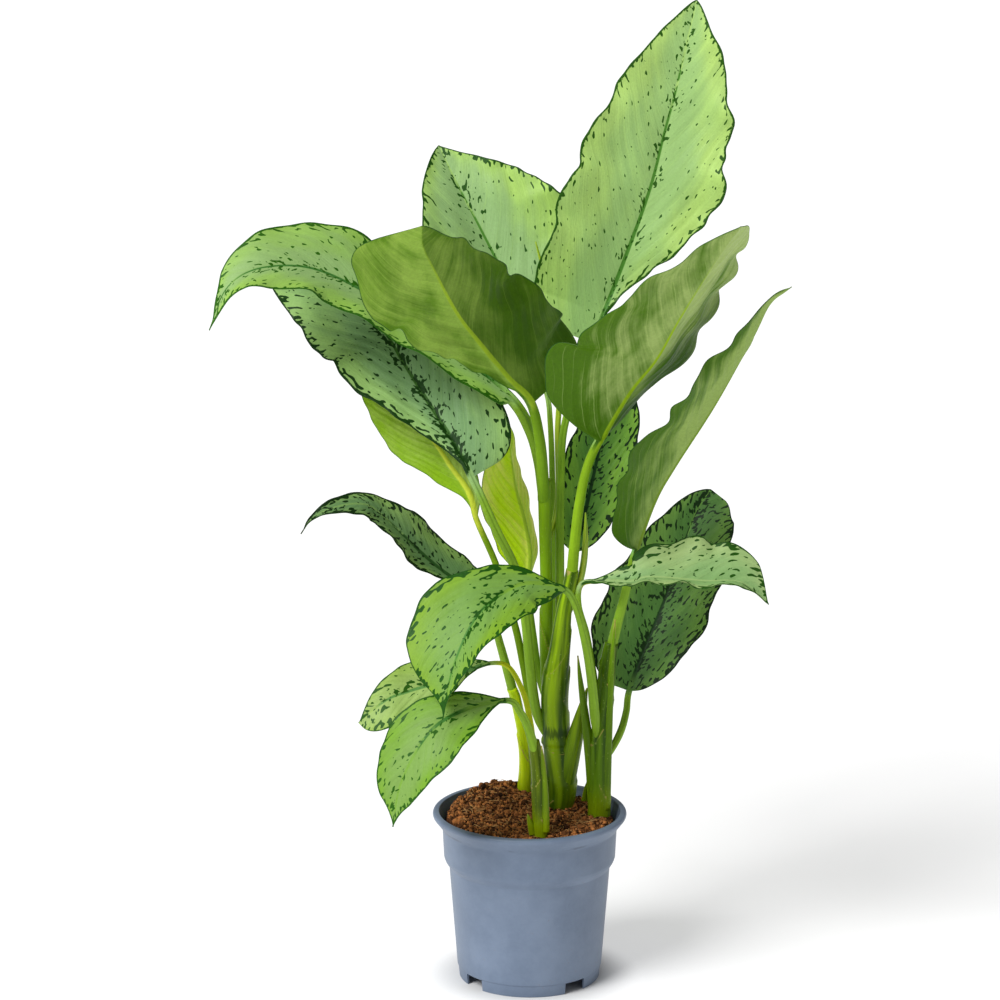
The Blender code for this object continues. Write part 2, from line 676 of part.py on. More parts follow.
def pot_inner_profile(clearance=0.0):
    """Inside of the wall from the floor up to the foot of the rim, or this far clear of it."""
    gap = WALL + clearance
    band_foot = BAND_RADIUS - BAND_TAPER - gap
    return [
        (TAPER_FOOT_RADIUS - gap, FLOOR_LEVEL + gap), (SHOULDER_RADIUS - gap, SHOULDER_LEVEL),
        (band_foot - INNER_STEP_IN, BAND_FOOT_LEVEL - INNER_STEP_DOWN), (band_foot, BAND_FOOT_LEVEL + WALL),
        (BAND_RADIUS - gap, POT_HEIGHT - RIM_DROP - BAND_TOP_DROP),
    ]


def pot_under_profile():
    """Underside from the foot ring over the floor to the middle pad, and the floor's upper face back out."""
    ring = FOOT_RADIUS - FOOT_LEAN - WALL
    pad = PAD_RADIUS - PAD_WALL
    return [
        (ring, 0.0), (ring, FLOOR_LEVEL), (PAD_RADIUS + PAD_SLOPE, FLOOR_LEVEL), (PAD_RADIUS, 0.0),
        (0.0, 0.0), (0.0, WALL), (pad, WALL), (pad + PAD_SLOPE, FLOOR_LEVEL + WALL),
    ]


def add_notches(pot, cutters):
    """Notches through the foot ring, their angles counted from the front."""
    reach = FOOT_RADIUS - FOOT_LEAN
    for number, degrees in enumerate(NOTCH_ANGLES):
        angle = math.radians(degrees)
        bpy.ops.mesh.primitive_cube_add(size=1.0)
        box = bpy.context.object
        box.name = f"notch_{number}"
        box.scale = (NOTCH_WIDTH * MM, NOTCH_DEPTH * MM, 2.0 * NOTCH_HEIGHT * MM)
        box.rotation_euler = (0.0, 0.0, angle)
        box.location = (reach * math.sin(angle) * MM, -reach * math.cos(angle) * MM, 0.0)
        keep_as_cutter(box, cutters)
        cut(pot, box)


def add_drain_holes(pot, cutters):
    middle = FLOOR_LEVEL + 0.5 * WALL
    for number in range(DRAIN_HOLES):
        angle = 2 * math.pi * (number + 0.5) / DRAIN_HOLES
        x, y = DRAIN_CIRCLE * math.cos(angle), DRAIN_CIRCLE * math.sin(angle)
        bpy.ops.mesh.primitive_cylinder_add(
            vertices=DRAIN_SIDES, radius=DRAIN_RADIUS * MM, depth=4 * WALL * MM
        )
        hole = bpy.context.object
        hole.name = f"drain_{number}"
        hole.location = (x * MM, y * MM, middle * MM)
        keep_as_cutter(hole, cutters)
        cut(pot, hole)


def add_pot(parts, cutters):
    inner_lip = RIM_RADIUS - LIP_WIDTH
    lip = [(inner_lip - LIP_LEAN, POT_HEIGHT - LIP_DEPTH), (inner_lip, POT_HEIGHT)]
    profile = pot_outer_profile() + pot_under_profile() + pot_inner_profile() + lip
    pot = add_object("pot", turned("pot", profile, POT_STEPS), parts, new_material("pot_surface", *POT_LOOK))
    add_notches(pot, cutters)
    add_drain_holes(pot, cutters)


def keep_as_cutter(thing, cutters):
    for collection in list(thing.users_collection):
        collection.objects.unlink(thing)
    cutters.objects.link(thing)
    thing.hide_render = True
    thing.display_type = "WIRE"


def soil_height(x, y, edge):
    """Height of the soil above its edge: a low crown, a heap towards the back left, and bumps."""
    inward = np.clip(1.0 - (x**2 + y**2) / edge**2, 0.0, 1.0)
    heap_x, heap_y = SOIL_HEAP_PLACE
    heap = np.exp(-((x - heap_x) ** 2 + (y - heap_y) ** 2) / (2 * SOIL_HEAP_SPREAD**2))
    bumps = sum(np.sin(along_x * x + along_y * y + start) for along_x, along_y, start in SOIL_WAVES)
    rise = np.clip(inward * SOIL_STEEPNESS, 0.0, 1.0)
    return rise * (SOIL_CROWN + SOIL_HEAP * heap + SOIL_BUMP * bumps)


def add_soil(parts, rooms):
    """The soil: it fills the pot down to its floor and pad, and has a room for each stem."""
    edge = BAND_RADIUS - BAND_TAPER - WALL - FIT_GAP
    rings = [(edge * ring / SOIL_RINGS, SOIL_EDGE_LEVEL) for ring in range(SOIL_RINGS + 1)]
    wall = pot_inner_profile(FIT_GAP)[-2::-1]
    pad = PAD_RADIUS - PAD_WALL - FIT_GAP
    floor = FLOOR_LEVEL + WALL + FIT_GAP
    under = [(pad + PAD_SLOPE, floor), (pad, WALL + FIT_GAP), (0.0, WALL + FIT_GAP)]
    mesh = turned("soil", rings + wall + under, POT_STEPS)
    places = np.empty(len(mesh.vertices) * 3, dtype=np.float32)
    mesh.vertices.foreach_get("co", places)
    places = places.reshape(-1, 3)
    on_top = places[:, 2] > (SOIL_EDGE_LEVEL - TOP_TOLERANCE) * MM
    x, y = places[on_top, 0] / MM, places[on_top, 1] / MM
    places[on_top, 2] += soil_height(x, y, edge) * MM
    mesh.vertices.foreach_set("co", places.ravel())
    mesh.update()
    soil = add_object("soil", mesh, parts, new_material("soil_surface", *SOIL_LOOK))
    for room in rooms:
        cut(soil, room)


def look_of(name):
    for names, look in LEAF_LOOKS.items():
        if name in names:
            return look
    return PALE_LEAF_LOOK


def add_stems(parts, cutters):
    """The stems with their sheaths, and for each a room, grown by the gap, to be cut from what it carries."""
    stems = {}
    rooms = {}
    for name, route in STEMS.items():
        look = new_material(f"{name}_surface", *STEM_LOOK)
        stems[name] = add_object(name, stem_mesh(name, route), parts, look)
        rooms[name] = add_object(f"{name}_room", stem_mesh(f"{name}_room", route, FIT_GAP), cutters)
        keep_as_cutter(rooms[name], cutters)
    keep_as_cutter(stems["stem_rear"], cutters)
    cut(stems["stem_centre"], stems["stem_rear"], "UNION")
    for name, sheath in SHEATHS.items():
        wrap = add_object(name, sheet_mesh(name, *sheath_faces(sheath)), cutters)
        keep_as_cutter(wrap, cutters)
        cut(stems[sheath.stem], wrap, "UNION")
    return rooms


def add_leaves(parts, rooms):
    grown = {name: (leaf.stem, sheet_mesh(name, *leaf_faces(leaf))) for name, leaf in LEAVES.items()}
    for name, (stem, route) in ROLLED_LEAVES.items():
        grown[name] = (stem, stem_mesh(name, route, roundness=ROLLED_ROUNDNESS))
    for name, (stem, mesh) in grown.items():
        blade = add_object(name, mesh, parts, new_material(f"{name}_surface", *look_of(name)))
        carriers = MIDDLE_STEMS if stem in MIDDLE_STEMS else (stem,)
        for carrier in carriers:
            cut(blade, rooms[carrier])


def main():
    clear_scene()
    parts = new_collection("potted_chinese_evergreen")
    cutters = new_collection("cutters")
    add_pot(parts, cutters)
    rooms = add_stems(parts, cutters)
    add_leaves(parts, rooms)
    add_soil(parts, [rooms[name] for name in STEMS if name != "stem_rear"])


main()
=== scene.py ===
"""The finished look of a potted chinese evergreen.

It has waved and marked leaves, sheathed stems, crumbly soil and a plastic pot.
Routes, widths and radii are in millimetres until a mesh is made, and turns and folds are in degrees.
Colours are given as they look on a screen, 0 to 255, and turned to light values by paint().
"""

import math
from dataclasses import dataclass
from itertools import combinations

import bpy
import numpy as np
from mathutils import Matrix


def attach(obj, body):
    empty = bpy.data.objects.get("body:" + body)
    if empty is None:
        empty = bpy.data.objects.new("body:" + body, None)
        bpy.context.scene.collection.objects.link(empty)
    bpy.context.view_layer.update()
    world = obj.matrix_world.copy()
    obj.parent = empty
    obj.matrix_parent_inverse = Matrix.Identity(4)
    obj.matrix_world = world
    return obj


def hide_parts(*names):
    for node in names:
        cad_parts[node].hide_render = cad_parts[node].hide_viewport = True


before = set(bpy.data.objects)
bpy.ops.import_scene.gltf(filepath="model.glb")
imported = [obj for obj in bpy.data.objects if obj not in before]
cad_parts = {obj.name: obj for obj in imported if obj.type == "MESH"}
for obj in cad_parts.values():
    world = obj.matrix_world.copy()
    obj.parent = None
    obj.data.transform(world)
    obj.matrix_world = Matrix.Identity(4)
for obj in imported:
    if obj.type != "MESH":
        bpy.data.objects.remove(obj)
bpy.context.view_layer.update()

MM = 0.001
FULL_TURN = 2 * math.pi

# The pot, as built
POT_HEIGHT = 151.0
RIM_RADIUS = 85.0
WALL = 1.5
FLOOR_LEVEL = 11.0
FOOT_RADIUS = 62.8
SOIL_EDGE_LEVEL = 141.0
FIT_GAP = 0.3
RIM_DROP = 14.0
BAND_RADIUS = 76.4
BAND_TAPER = 1.2
LIP_WIDTH = 5.6
LIP_MIDDLE = 4.0
BAND_FOOT_LEVEL = 110.0
SHOULDER_RADIUS = 70.6
SHOULDER_LEVEL = 101.6
TAPER_FOOT_RADIUS = 63.6
FOOT_LEAN = 1.0
PAD_RADIUS = 13.0
PAD_SLOPE = 3.0
PAD_WALL = 0.8
NOTCH_ANGLES = (-51.6, 39.4, 129.0, 219.0)
NOTCH_WIDTH = 21.0
NOTCH_DEPTH = 12.0
NOTCH_HEIGHT = 10.2
DRAIN_HOLES = 8
DRAIN_RADIUS = 4.0
DRAIN_CIRCLE = 40.0
DRAIN_SIDES = 24
POT_CORNER_RADIUS = 0.7
POT_SHARP_ANGLE = 40.0

# The soil: the crown is as built, and the heap and the bank at the left are a little larger than in the solid
SOIL_CROWN = 3.0
SOIL_HEAP = 13.0
SOIL_HEAP_PLACE = (-26.0, 54.0)
SOIL_HEAP_SPREAD = 28.0
SOIL_BANK = 4.5
SOIL_BANK_START = 25.0
SOIL_BANK_WIDTH = 40.0
SOIL_FOOT_LEVEL = 14.0
SOIL_SHOULDER_LEVEL = 100.0
SOIL_RIM_FADE = 4.0
LUMP_SIZES = (2.6, 0.9)
LUMP_HEIGHTS = (1.2, 0.6)

# How finely the surfaces are worked out
ROUTE_STEPS = 60
STALK_ROWS = 36
BLADE_ROWS = 150
HALF_COLUMNS = 26
STEM_ROW_SPACING = 2.5
STEM_SIDES = 48
SHEATH_ROWS = 60
SHEATH_COLUMNS = 21
ROLLED_ROWS = 90
ROLLED_SIDES = 32
POT_SIDES = 160
SOIL_RINGS = 80
SOIL_SPOKES = 240

# Leaves
BLADE_HALF_THICKNESS = 0.38
TIP_HALF_WIDTH = 0.6
DRIP_START = 0.86
RIB_END = 0.9
RIB_FADE = 1.5
RIB_SPREAD = 1.3
WAVE_FADE = 0.7
RUFFLE_SIDEWAYS = 0.8
VEIN_LEAN = 1.2
VEIN_BEND = 0.9
VEIN_WANDER = 3.0
VEIN_WANDER_LENGTH = 30.0
VEIN_SPACING_SHARE = 0.34
VEIN_SPACING_LEAST = 11.0
VEIN_SPACING_MOST = 25.0
QUILT_LEVEL = 0.6
PUCKER = 0.035
PUCKER_LENGTH = 16.0
PUCKER_WIDTH = 11.0
FOOT_TAPER = 34.0
CHANNEL_DEPTH = 0.9
CHANNEL_WIDTH = 2.2
GROOVE_SHARE = 0.35
GROOVE_WIDTH = 0.4


@dataclass
class Leaf:
    """One leaf: its stalk, its midrib from base to tip, how its blade lies, and its colours and marks.

    left and right are the half widths seen from the upper face, each with the share of the length where it is
    widest and how blunt its base and tip are. turn is how far the upper face turns away from the front at base,
    middle and tip, and fold is how far both halves rise from the midrib. ripple is how many waves the margin
    has, how high they are and how much they draw it in, and phase is where they start on each side. drip is how
    much the last stretch narrows, and foot how thin the stalk starts, as a share. ruffle is the height of the
    small waves at the left and right margin and how far apart they are. quilt is how far the blade swells
    between its side veins. spots are the width of the dark margin in millimetres, and how thick the marks stand
    along the margin, along the midrib and elsewhere. rib_span is where the midrib is dark, as shares of the
    length. lower is how the lower face pales towards its tip, its right and its margin. shade is painted shade
    on the lower face: how light its left and right halves are made, the half turned from the light darker.
    """

    stalk: tuple
    blade: tuple
    left: tuple
    right: tuple
    turn: tuple
    fold: float
    ripple: tuple
    phase: tuple = (0.0, 0.37)
    stalk_radius: tuple = (4.4, 2.6)
    drip: float = 0.0
    foot: float = 0.4
    ruffle: tuple = (1.2, 1.2, 26.0)
    quilt: float = 1.0
    spots: tuple = (1.0, 0.6, 0.5, 0.2)
    inner: tuple = (138, 180, 118)
    outer: tuple = (168, 212, 104)
    mark: tuple = (38, 92, 22)
    rib: tuple = (84, 140, 52)
    rib_span: tuple = (0.0, 0.75)
    back: tuple = (92, 128, 42)
    back_pale: tuple = (150, 172, 108)
    rib_back: tuple = (172, 186, 52)
    lower: tuple = (0.3, 0.0, 0.0)
    shade: tuple = (1.0, 1.0)
    stalk_colour: tuple = (128, 168, 40)
    slot: str = "leaf_pale"


LEAVES = {
    "leaf_01": Leaf(
        stalk=((25, 30, 260), (27, 44, 298), (26.5, 47, 362), (27, 50, 434), (31, 58, 486)),
        blade=((54, 66, 554), (82, 80, 625), (104, 92, 685), (116, 100, 731), (127, 107, 772), (144, 116, 846)),
        left=(73, 0.36, 0.17, 0.66), right=(61, 0.5, 2.4, 0.68), turn=(4, 0, -4), fold=12, ripple=(5, 4.0, 0.05),
        phase=(0.23, 0.6), stalk_radius=(4.4, 2.9), drip=0.3, foot=0.3, ruffle=(1.2, 2.6, 30.0),
        spots=(1.9, 0.7, 0.7, 0.05), inner=(152, 189, 115), outer=(174, 208, 112), mark=(49, 104, 10),
        rib=(74, 128, 44),
    ),
    "leaf_02": Leaf(
        stalk=((25, 30, 238), (27, 46, 260), (23, 57, 298), (21, 64, 343), (20, 69, 428), (18, 69, 482)),
        blade=((14, 68, 512), (-4, 80, 559), (-17, 92, 597), (-43, 112, 647), (-64, 128, 685), (-80, 142, 717)),
        left=(66, 0.5, 0.6, 0.75), right=(78, 0.56, 0.6, 1.05), turn=(22, 22, 22), fold=18, ripple=(4, 3.0, 0.03),
        phase=(0.3, 0.67), stalk_radius=(3.6, 2.3), ruffle=(0.8, 1.8, 24.0), spots=(1.7, 0.9, 0.6, 0.1),
        inner=(148, 184, 119), outer=(168, 206, 103), mark=(43, 99, 12), rib=(80, 135, 50),
    ),
    # leaf_03's shade makes one half of its lower face darker: painted shade.
    "leaf_03": Leaf(
        stalk=((12, 30, 423), (11, 17, 445), (8, 9, 480)),
        blade=(
            (0, 3, 514), (-19, -14, 538), (-42, -38, 571), (-61, -64, 601), (-80, -108, 646), (-88, -130, 668),
            (-88, -160, 689),
        ),
        left=(72, 0.15, 0.3, 0.55), right=(64, 0.8, 0.42, 0.17), turn=(205, 205, 190), fold=-8, ripple=(4, 3.5, 0.05),
        phase=(0.6, 0.97), stalk_radius=(5.4, 4.2), foot=1.0, ruffle=(1.2, 2.6, 34.0), back=(87, 132, 5),
        back_pale=(151, 186, 73), rib_back=(160, 190, 40), lower=(0.3, 0.3, -0.3), shade=(0.62, 1.0),
        stalk_colour=(112, 152, 18), slot="leaf_underside",
    ),
    "leaf_04": Leaf(
        stalk=((12, 32, 428), (8, 36, 456), (0, 26, 485)),
        blade=(
            (-16, 15, 514), (-52, 10, 547), (-94, 8, 579), (-136, 6, 606), (-174, 2, 626), (-203, -6, 633),
            (-235, -16, 630), (-256, -24, 615), (-270, -30, 582),
        ),
        left=(36, 0.58, 0.28, 0.62), right=(48, 0.57, 0.7, 1.45), turn=(45, 50, 55), fold=12, ripple=(5, 3.0, 0.03),
        stalk_radius=(5.4, 4.8), drip=0.85, foot=1.0, ruffle=(0.6, 0.8, 30.0), spots=(2.0, 0.8, 0.7, 0.2),
        inner=(145, 180, 111), outer=(149, 191, 81), mark=(52, 115, 8), rib=(64, 120, 50), rib_span=(0.0, 0.9),
    ),
    "leaf_05": Leaf(
        stalk=((18, 28, 203), (6, 26, 233), (0, 22, 278), (-4, 16, 320), (-13, 5, 367), (-30, -6, 406)),
        blade=(
            (-50, -12, 452), (-68, 4, 483), (-88, 22, 511), (-109, 40, 541), (-131, 55, 573), (-169, 66, 605),
            (-224, 74, 634),
        ),
        left=(57, 0.58, 1.05, 0.47), right=(54, 0.25, 0.45, 0.92), turn=(22, 20, 10), fold=8, ripple=(4, 2.5, 0.04),
        phase=(0.2, 0.57), stalk_radius=(4.6, 3.6), ruffle=(1.6, 1.0, 30.0), quilt=1.6, spots=(1.8, 1.0, 1.05, 0.25),
        inner=(116, 153, 100), outer=(150, 188, 107), mark=(27, 69, 13), rib=(58, 98, 38), slot="leaf_dark",
    ),
    "leaf_06": Leaf(
        stalk=((17, 34, 210), (2, 42, 236), (-5, 39, 270), (-13, 30, 310), (-29, 20, 366)),
        blade=(
            (-46, 14, 408), (-53, 17, 432), (-68, 26, 452), (-80, 34, 469), (-97, 46, 490), (-115, 60, 513),
            (-161, 86, 576),
        ),
        left=(30, 0.5, 0.9, 0.92), right=(35, 0.5, 1.5, 1.2), turn=(200, 200, 195), fold=12, ripple=(3, 2.0, 0.03),
        phase=(0.5, 0.87), stalk_radius=(3.8, 2.6), ruffle=(0.8, 0.8, 26.0), back=(128, 170, 14),
        back_pale=(164, 193, 85), rib_back=(192, 206, 58), lower=(-0.4, -0.5, -0.5), stalk_colour=(120, 158, 16),
        slot="leaf_young",
    ),
    # leaf_07's lower face is painted brighter than the leaf's own colour: painted light, for light shining through it
    # where it lies in shade.
    "leaf_07": Leaf(
        stalk=((15, 42, 233), (8, 48, 262), (4, 51, 290), (0, 53, 323)),
        blade=((-1, 54, 349), (0, 54, 371), (-5, 56, 399), (-12, 58, 426), (-18, 61, 466), (-26, 64, 508)),
        left=(18, 0.4, 0.6, 0.9), right=(36, 0.4, 0.6, 0.9), turn=(225, 228, 230), fold=19, ripple=(3, 2.0, 0.04),
        phase=(0.4, 0.77), stalk_radius=(3.6, 2.6), ruffle=(0.8, 0.8, 26.0), back=(217, 255, 23),
        back_pale=(255, 255, 130), rib_back=(190, 222, 60), slot="leaf_young",
    ),
    "leaf_08": Leaf(
        stalk=((-13, 40, 241), (-25, 28, 290), (-33, 14, 321)),
        blade=(
            (-45, -2, 348), (-65, -8, 361), (-88, -14, 381), (-126, -36, 424), (-142, -46, 436), (-165, -58, 436),
            (-184, -66, 428), (-193, -70, 416),
        ),
        left=(18, 0.42, 1.6, 0.8), right=(27, 0.2, 0.45, 0.9), turn=(53, 53, 60), fold=11, ripple=(2.5, 3.0, 0.12),
        phase=(0.05, 0.05), drip=0.6, foot=1.0, ruffle=(1.6, 1.8, 30.0), spots=(2.0, 0.7, 0.5, 0.4),
        inner=(98, 135, 82), outer=(129, 164, 87), mark=(18, 54, 7), rib=(44, 84, 34), rib_span=(0.0, 0.45),
        slot="leaf_dark",
    ),
    "leaf_09": Leaf(
        stalk=((59, 5, 210), (56, -6, 242), (53, -12, 273), (48, -17, 305), (40, -23, 338)),
        blade=((30, -30, 357), (8, -42, 366), (-14, -54, 366), (-44, -80, 349), (-64, -102, 312), (-74, -114, 267)),
        left=(39, 0.48, 0.85, 1.8), right=(52, 0.62, 1.1, 1.3), turn=(43, 43, 38), fold=14, ripple=(4, 2.0, 0.03),
        phase=(0.7, 0.07), stalk_radius=(4.8, 3.0), drip=0.8, foot=0.1, ruffle=(0.5, 0.6, 26.0),
        spots=(1.5, 1.1, 0.85, 0.2), inner=(117, 158, 75), outer=(124, 164, 41), mark=(36, 97, 9), rib=(72, 128, 50),
        rib_span=(0.3, 0.8),
    ),
    "leaf_10": Leaf(
        stalk=((60, 10, 243), (54, 13, 278), (49, 9, 308), (42, 1, 336)),
        blade=(
            (44, -6, 356), (60, -14, 361), (86, -24, 363), (103, -28, 368), (148, -30, 365), (180, -28, 363),
            (204, -28, 344),
        ),
        left=(38, 0.6, 1.15, 0.85), right=(26, 0.5, 1.5, 1.0), turn=(-62, -62, -58), fold=33, ripple=(5, 2.5, 0.05),
        phase=(0.3, 0.67), stalk_radius=(3.6, 2.4), drip=0.5, ruffle=(1.6, 1.6, 24.0), spots=(1.4, 0.8, 0.3, 0.35),
        inner=(136, 174, 109), outer=(163, 188, 121), mark=(43, 97, 12), rib=(186, 200, 160), rib_span=(1.2, 1.3),
    ),
    "leaf_11": Leaf(
        stalk=((64, 10, 188), (79, 20, 214), (85, 30, 231)),
        blade=((88, 40, 248), (101, 54, 280), (121, 70, 326), (141, 86, 381), (151, 93, 403), (161, 96, 417)),
        left=(52, 0.34, 0.5, 0.7), right=(46, 0.5, 0.48, 0.22), turn=(-18, -18, -10), fold=14, ripple=(4, 2.0, 0.05),
        phase=(0.1, 0.47), stalk_radius=(3.8, 2.8), ruffle=(0.8, 0.8, 26.0), quilt=1.4, spots=(1.4, 0.8, 0.9, 0.6),
        inner=(72, 113, 51), outer=(107, 148, 64), mark=(18, 52, 7), rib=(24, 58, 20), slot="leaf_dark",
    ),
    "leaf_12": Leaf(
        stalk=((69, 8, 288), (75, 5, 316), (82, 2, 346)),
        blade=(
            (91, -3, 387), (106, -12, 432), (122, -20, 463), (155, -34, 519), (185, -46, 578), (199, -50, 608),
            (216, -54, 623),
        ),
        left=(44, 0.34, 0.6, 0.92), right=(59, 0.3, 1.0, 0.9), turn=(247, 247, 247), fold=21, ripple=(3.3, 3.5, 0.12),
        phase=(0.5, 0.0), stalk_radius=(4.8, 3.4), drip=0.4, foot=1.0, ruffle=(0.6, 3.6, 42.0), inner=(128, 180, 108),
        outer=(130, 186, 96), mark=(34, 86, 12), back=(67, 108, 4), back_pale=(145, 173, 86), rib_back=(120, 152, 36),
        lower=(0.7, 0.0, -1.4), slot="leaf_underside",
    ),
    "leaf_13": Leaf(
        stalk=((36.3, 14.4, 359), (38.5, 8, 390), (42, -2, 426), (48, -14, 460)),
        blade=(
            (58, -26, 487), (83, -46, 533), (103, -66, 563), (119, -90, 598), (136, -114, 633), (152, -134, 664),
            (166, -150, 687),
        ),
        left=(72, 0.4, 1.5, 0.5), right=(88, 0.26, 2.0, 0.9), turn=(226, 226, 226), fold=19, ripple=(5, 3.0, 0.07),
        phase=(0.55, 0.6), stalk_radius=(4.9, 3.8), foot=1.0, ruffle=(1.0, 2.0, 34.0), back=(75, 116, 5),
        back_pale=(159, 183, 102), rib_back=(150, 184, 24), lower=(1.3, -0.3, -0.4), stalk_colour=(136, 176, 24),
        slot="leaf_underside",
    ),
    "leaf_14": Leaf(
        stalk=((30, 20, 304), (34, 38, 329), (37, 56, 352)),
        blade=((40, 62, 369), (48, 74, 397), (58, 86, 439), (66, 94, 478), (70, 100, 517), (74, 104, 548)),
        left=(29, 0.36, 0.6, 0.8), right=(34, 0.45, 0.6, 0.6), turn=(0, 0, 0), fold=12, ripple=(3, 2.0, 0.04),
        phase=(0.6, 0.97), stalk_radius=(3.4, 2.6), ruffle=(0.8, 0.8, 24.0), spots=(1.4, 0.8, 0.6, 0.5),
        inner=(85, 134, 56), outer=(130, 176, 63), mark=(16, 54, 9), rib=(24, 62, 26), slot="leaf_dark",
    ),
    "leaf_15": Leaf(
        stalk=((4, -53, 221), (-2, -58, 243), (-9, -64, 259)),
        blade=((-20, -74, 272), (-55, -94, 270), (-85, -108, 254), (-108, -118, 215), (-116, -120, 175)),
        left=(35, 0.5, 1.4, 1.05), right=(33, 0.58, 0.9, 1.1), turn=(39, 39, 35), fold=5, ripple=(3, 1.5, 0.03),
        phase=(0.3, 0.67), drip=0.5, foot=1.0, ruffle=(0.5, 0.6, 24.0), spots=(1.5, 0.7, 0.5, 0.1),
        inner=(122, 159, 77), outer=(114, 159, 44), mark=(47, 108, 8), rib=(58, 112, 40), rib_span=(0.2, 0.5),
    ),
    "leaf_16": Leaf(
        stalk=((4, -49, 218), (0, -36, 242), (-6, -30, 266), (-18, -28, 288)),
        blade=(
            (-33, -28, 292), (-52, -30, 286), (-77, -34, 277), (-103, -38, 270), (-124, -44, 263), (-147, -50, 245),
        ),
        left=(28, 0.6, 1.5, 0.35), right=(24, 0.5, 0.9, 1.1), turn=(35, 35, 30), fold=5, ripple=(3, 1.5, 0.03),
        stalk_radius=(3.0, 1.9), ruffle=(0.5, 0.5, 24.0), spots=(1.2, 0.7, 0.7, 0.15), inner=(152, 181, 99),
        outer=(150, 182, 82), mark=(47, 104, 12), rib=(92, 142, 70), stalk_colour=(190, 204, 24),
    ),
}


@dataclass
class Stem:
    """A round stem: its route with a radius at each point, the edges of its sheaths, and its colours.

    Each edge is how far along the stem it runs, how far it slants, and the direction that it slants to.
    foot_glow is how pale the stem's foot is, and ring the height of a dark ring round it, or 0 for none.
    """

    route: tuple
    edges: tuple = ()
    foot_glow: float = 0.0
    ring: float = 0.0
    colour: tuple = (104, 148, 30)
    shade: tuple = (66, 108, 22)


STEMS = {
    "stem_centre": Stem(
        (
            (24, 28, 106, 9.0), (24, 28, 137, 11.0), (27, 28, 150, 13.5), (28, 28, 169, 14.3),
            (26, 28, 188, 13.4), (24.5, 28, 202, 12.8), (24, 27.5, 207, 13.8), (23.5, 27, 213, 12.6),
            (22, 26, 243, 12.6), (23.5, 24, 268, 11.8), (26, 22, 290, 9.8), (30, 18, 328, 7.2),
            (34.5, 15.5, 350, 6.0), (37, 14, 364, 5.4),
        ),
        edges=((52, 16, 20), (74, 12, 215), (101, 9, 250), (150, 26, 160), (186, 22, 330)),
        ring=215.0, colour=(150, 186, 18), shade=(56, 90, 4),
    ),
    "stem_rear": Stem(
        (
            (20, 31, 216, 4.8), (16, 38, 243, 5.8), (14.5, 41, 291, 6.0), (15, 40, 329, 6.0),
            (14, 38, 366, 5.8), (13, 33, 404, 5.8), (12, 28, 441, 5.6),
        ),
        edges=((88, 20, 200),), colour=(116, 158, 18), shade=(86, 128, 14),
    ),
    "stem_right": Stem(
        (
            (58, 8, 110, 8.5), (60.5, 8, 138, 10.2), (61, 8, 150, 10.3), (62, 8, 197, 9.5),
            (63, 8, 231, 9.0), (66, 8, 258, 8.2), (68, 8, 285, 7.2), (70.5, 7, 301, 6.2),
        ),
        edges=((74, 24, 200), (120, 20, 340), (158, 16, 180)), foot_glow=0.7,
        colour=(92, 130, 4), shade=(48, 80, 0),
    ),
    "stem_front": Stem(
        (
            (8.5, -52, 110, 5.6), (8.5, -52, 139, 6.2), (8, -52, 158, 6.8), (7, -52, 198, 6.6),
            (4.5, -52, 220, 6.0), (3, -52.5, 230, 5.2),
        ),
        edges=((58, 12, 190), (92, 12, 330)), foot_glow=1.0, colour=(110, 132, 0), shade=(60, 82, 0),
    ),
    # stem_left's colours are painted lighter than the stem's own: painted light, where it stands in shade behind the
    # other stems.
    "stem_left": Stem(
        (
            (-4.5, 50, 110, 6.4), (-4.5, 50, 148, 7.0), (-3.5, 50, 176, 5.8), (-5, 46, 201, 5.4),
            (-12, 40, 239, 5.0), (-16, 37, 251, 4.5),
        ),
        edges=((86, 14, 200),), foot_glow=1.0, colour=(220, 242, 22), shade=(174, 208, 14),
    ),
}


@dataclass
class Sheath:
    """A pointed sheath that wraps a stem: its middle line, and its half width at the foot."""

    stem: str
    route: tuple
    half_width: float
    turn: float
    fold: float


SHEATHS = (
    Sheath("stem_centre", ((31, 17, 152), (34, 16, 170), (40, 15, 201), (46, 14, 233), (50, 13, 258)), 13, 200, 40),
    Sheath("stem_right", ((57, 5, 150), (54, 5, 190), (49, 5, 232), (44, 4, 268), (41.5, 3, 290)), 6.5, 190, 40),
    Sheath("stem_right", ((49, 20, 152), (51, 17, 164), (56, 13, 180), (61, 9, 197)), 3.5, 200, 35),
    Sheath("stem_right", ((66, 0, 150), (67, 0, 198), (69.5, 0, 260), (73.5, -3, 324)), 6, 175, 40),
    Sheath("stem_front", ((12, -58, 149), (12, -58, 173), (11, -58, 203), (9.5, -61, 228)), 5, 165, 40),
    Sheath("stem_front", ((3, -56, 147), (1, -57, 155), (-2.5, -58, 166)), 4, 210, 35),
)
SHEATH_TAPER = 0.8
SHEATH_HALF_THICKNESS = 0.6
SHEATH_TIP_WIDTH = 0.4
SHEATH_TONE = 0.35
SHEATH_STEP = 1.0
SHEATH_STEP_LEVEL = 0.6
STEM_ROUND_SCALE = 6.0

ROLLED_LEAVES = {
    "leaf_17": (
        (13, 37, 370, 2.6), (18, 48, 388, 2.6), (23, 57, 403, 2.6), (25, 61, 428, 2.6),
        (24.5, 62, 478, 2.6), (27, 65, 528, 2.5), (21, 74, 578, 2.1), (12, 81, 613, 1.5),
        (5, 86, 640, 0.6),
    ),
    "leaf_18": (
        (32, 19, 320, 2.6), (41, 21, 344, 2.9), (46, 19.5, 366, 3.0), (48, 18, 390, 2.4),
        (48, 18, 414, 0.6),
    ),
}


# Shader building


def paint(red, green, blue):
    """A screen colour, 0 to 255, as the light values that a shader takes."""
    shares = np.array([red, green, blue]) / 255.0
    light = np.where(shares <= 0.04045, shares / 12.92, ((shares + 0.055) / 1.055) ** 2.4)
    return (*[float(value) for value in light], 1.0)


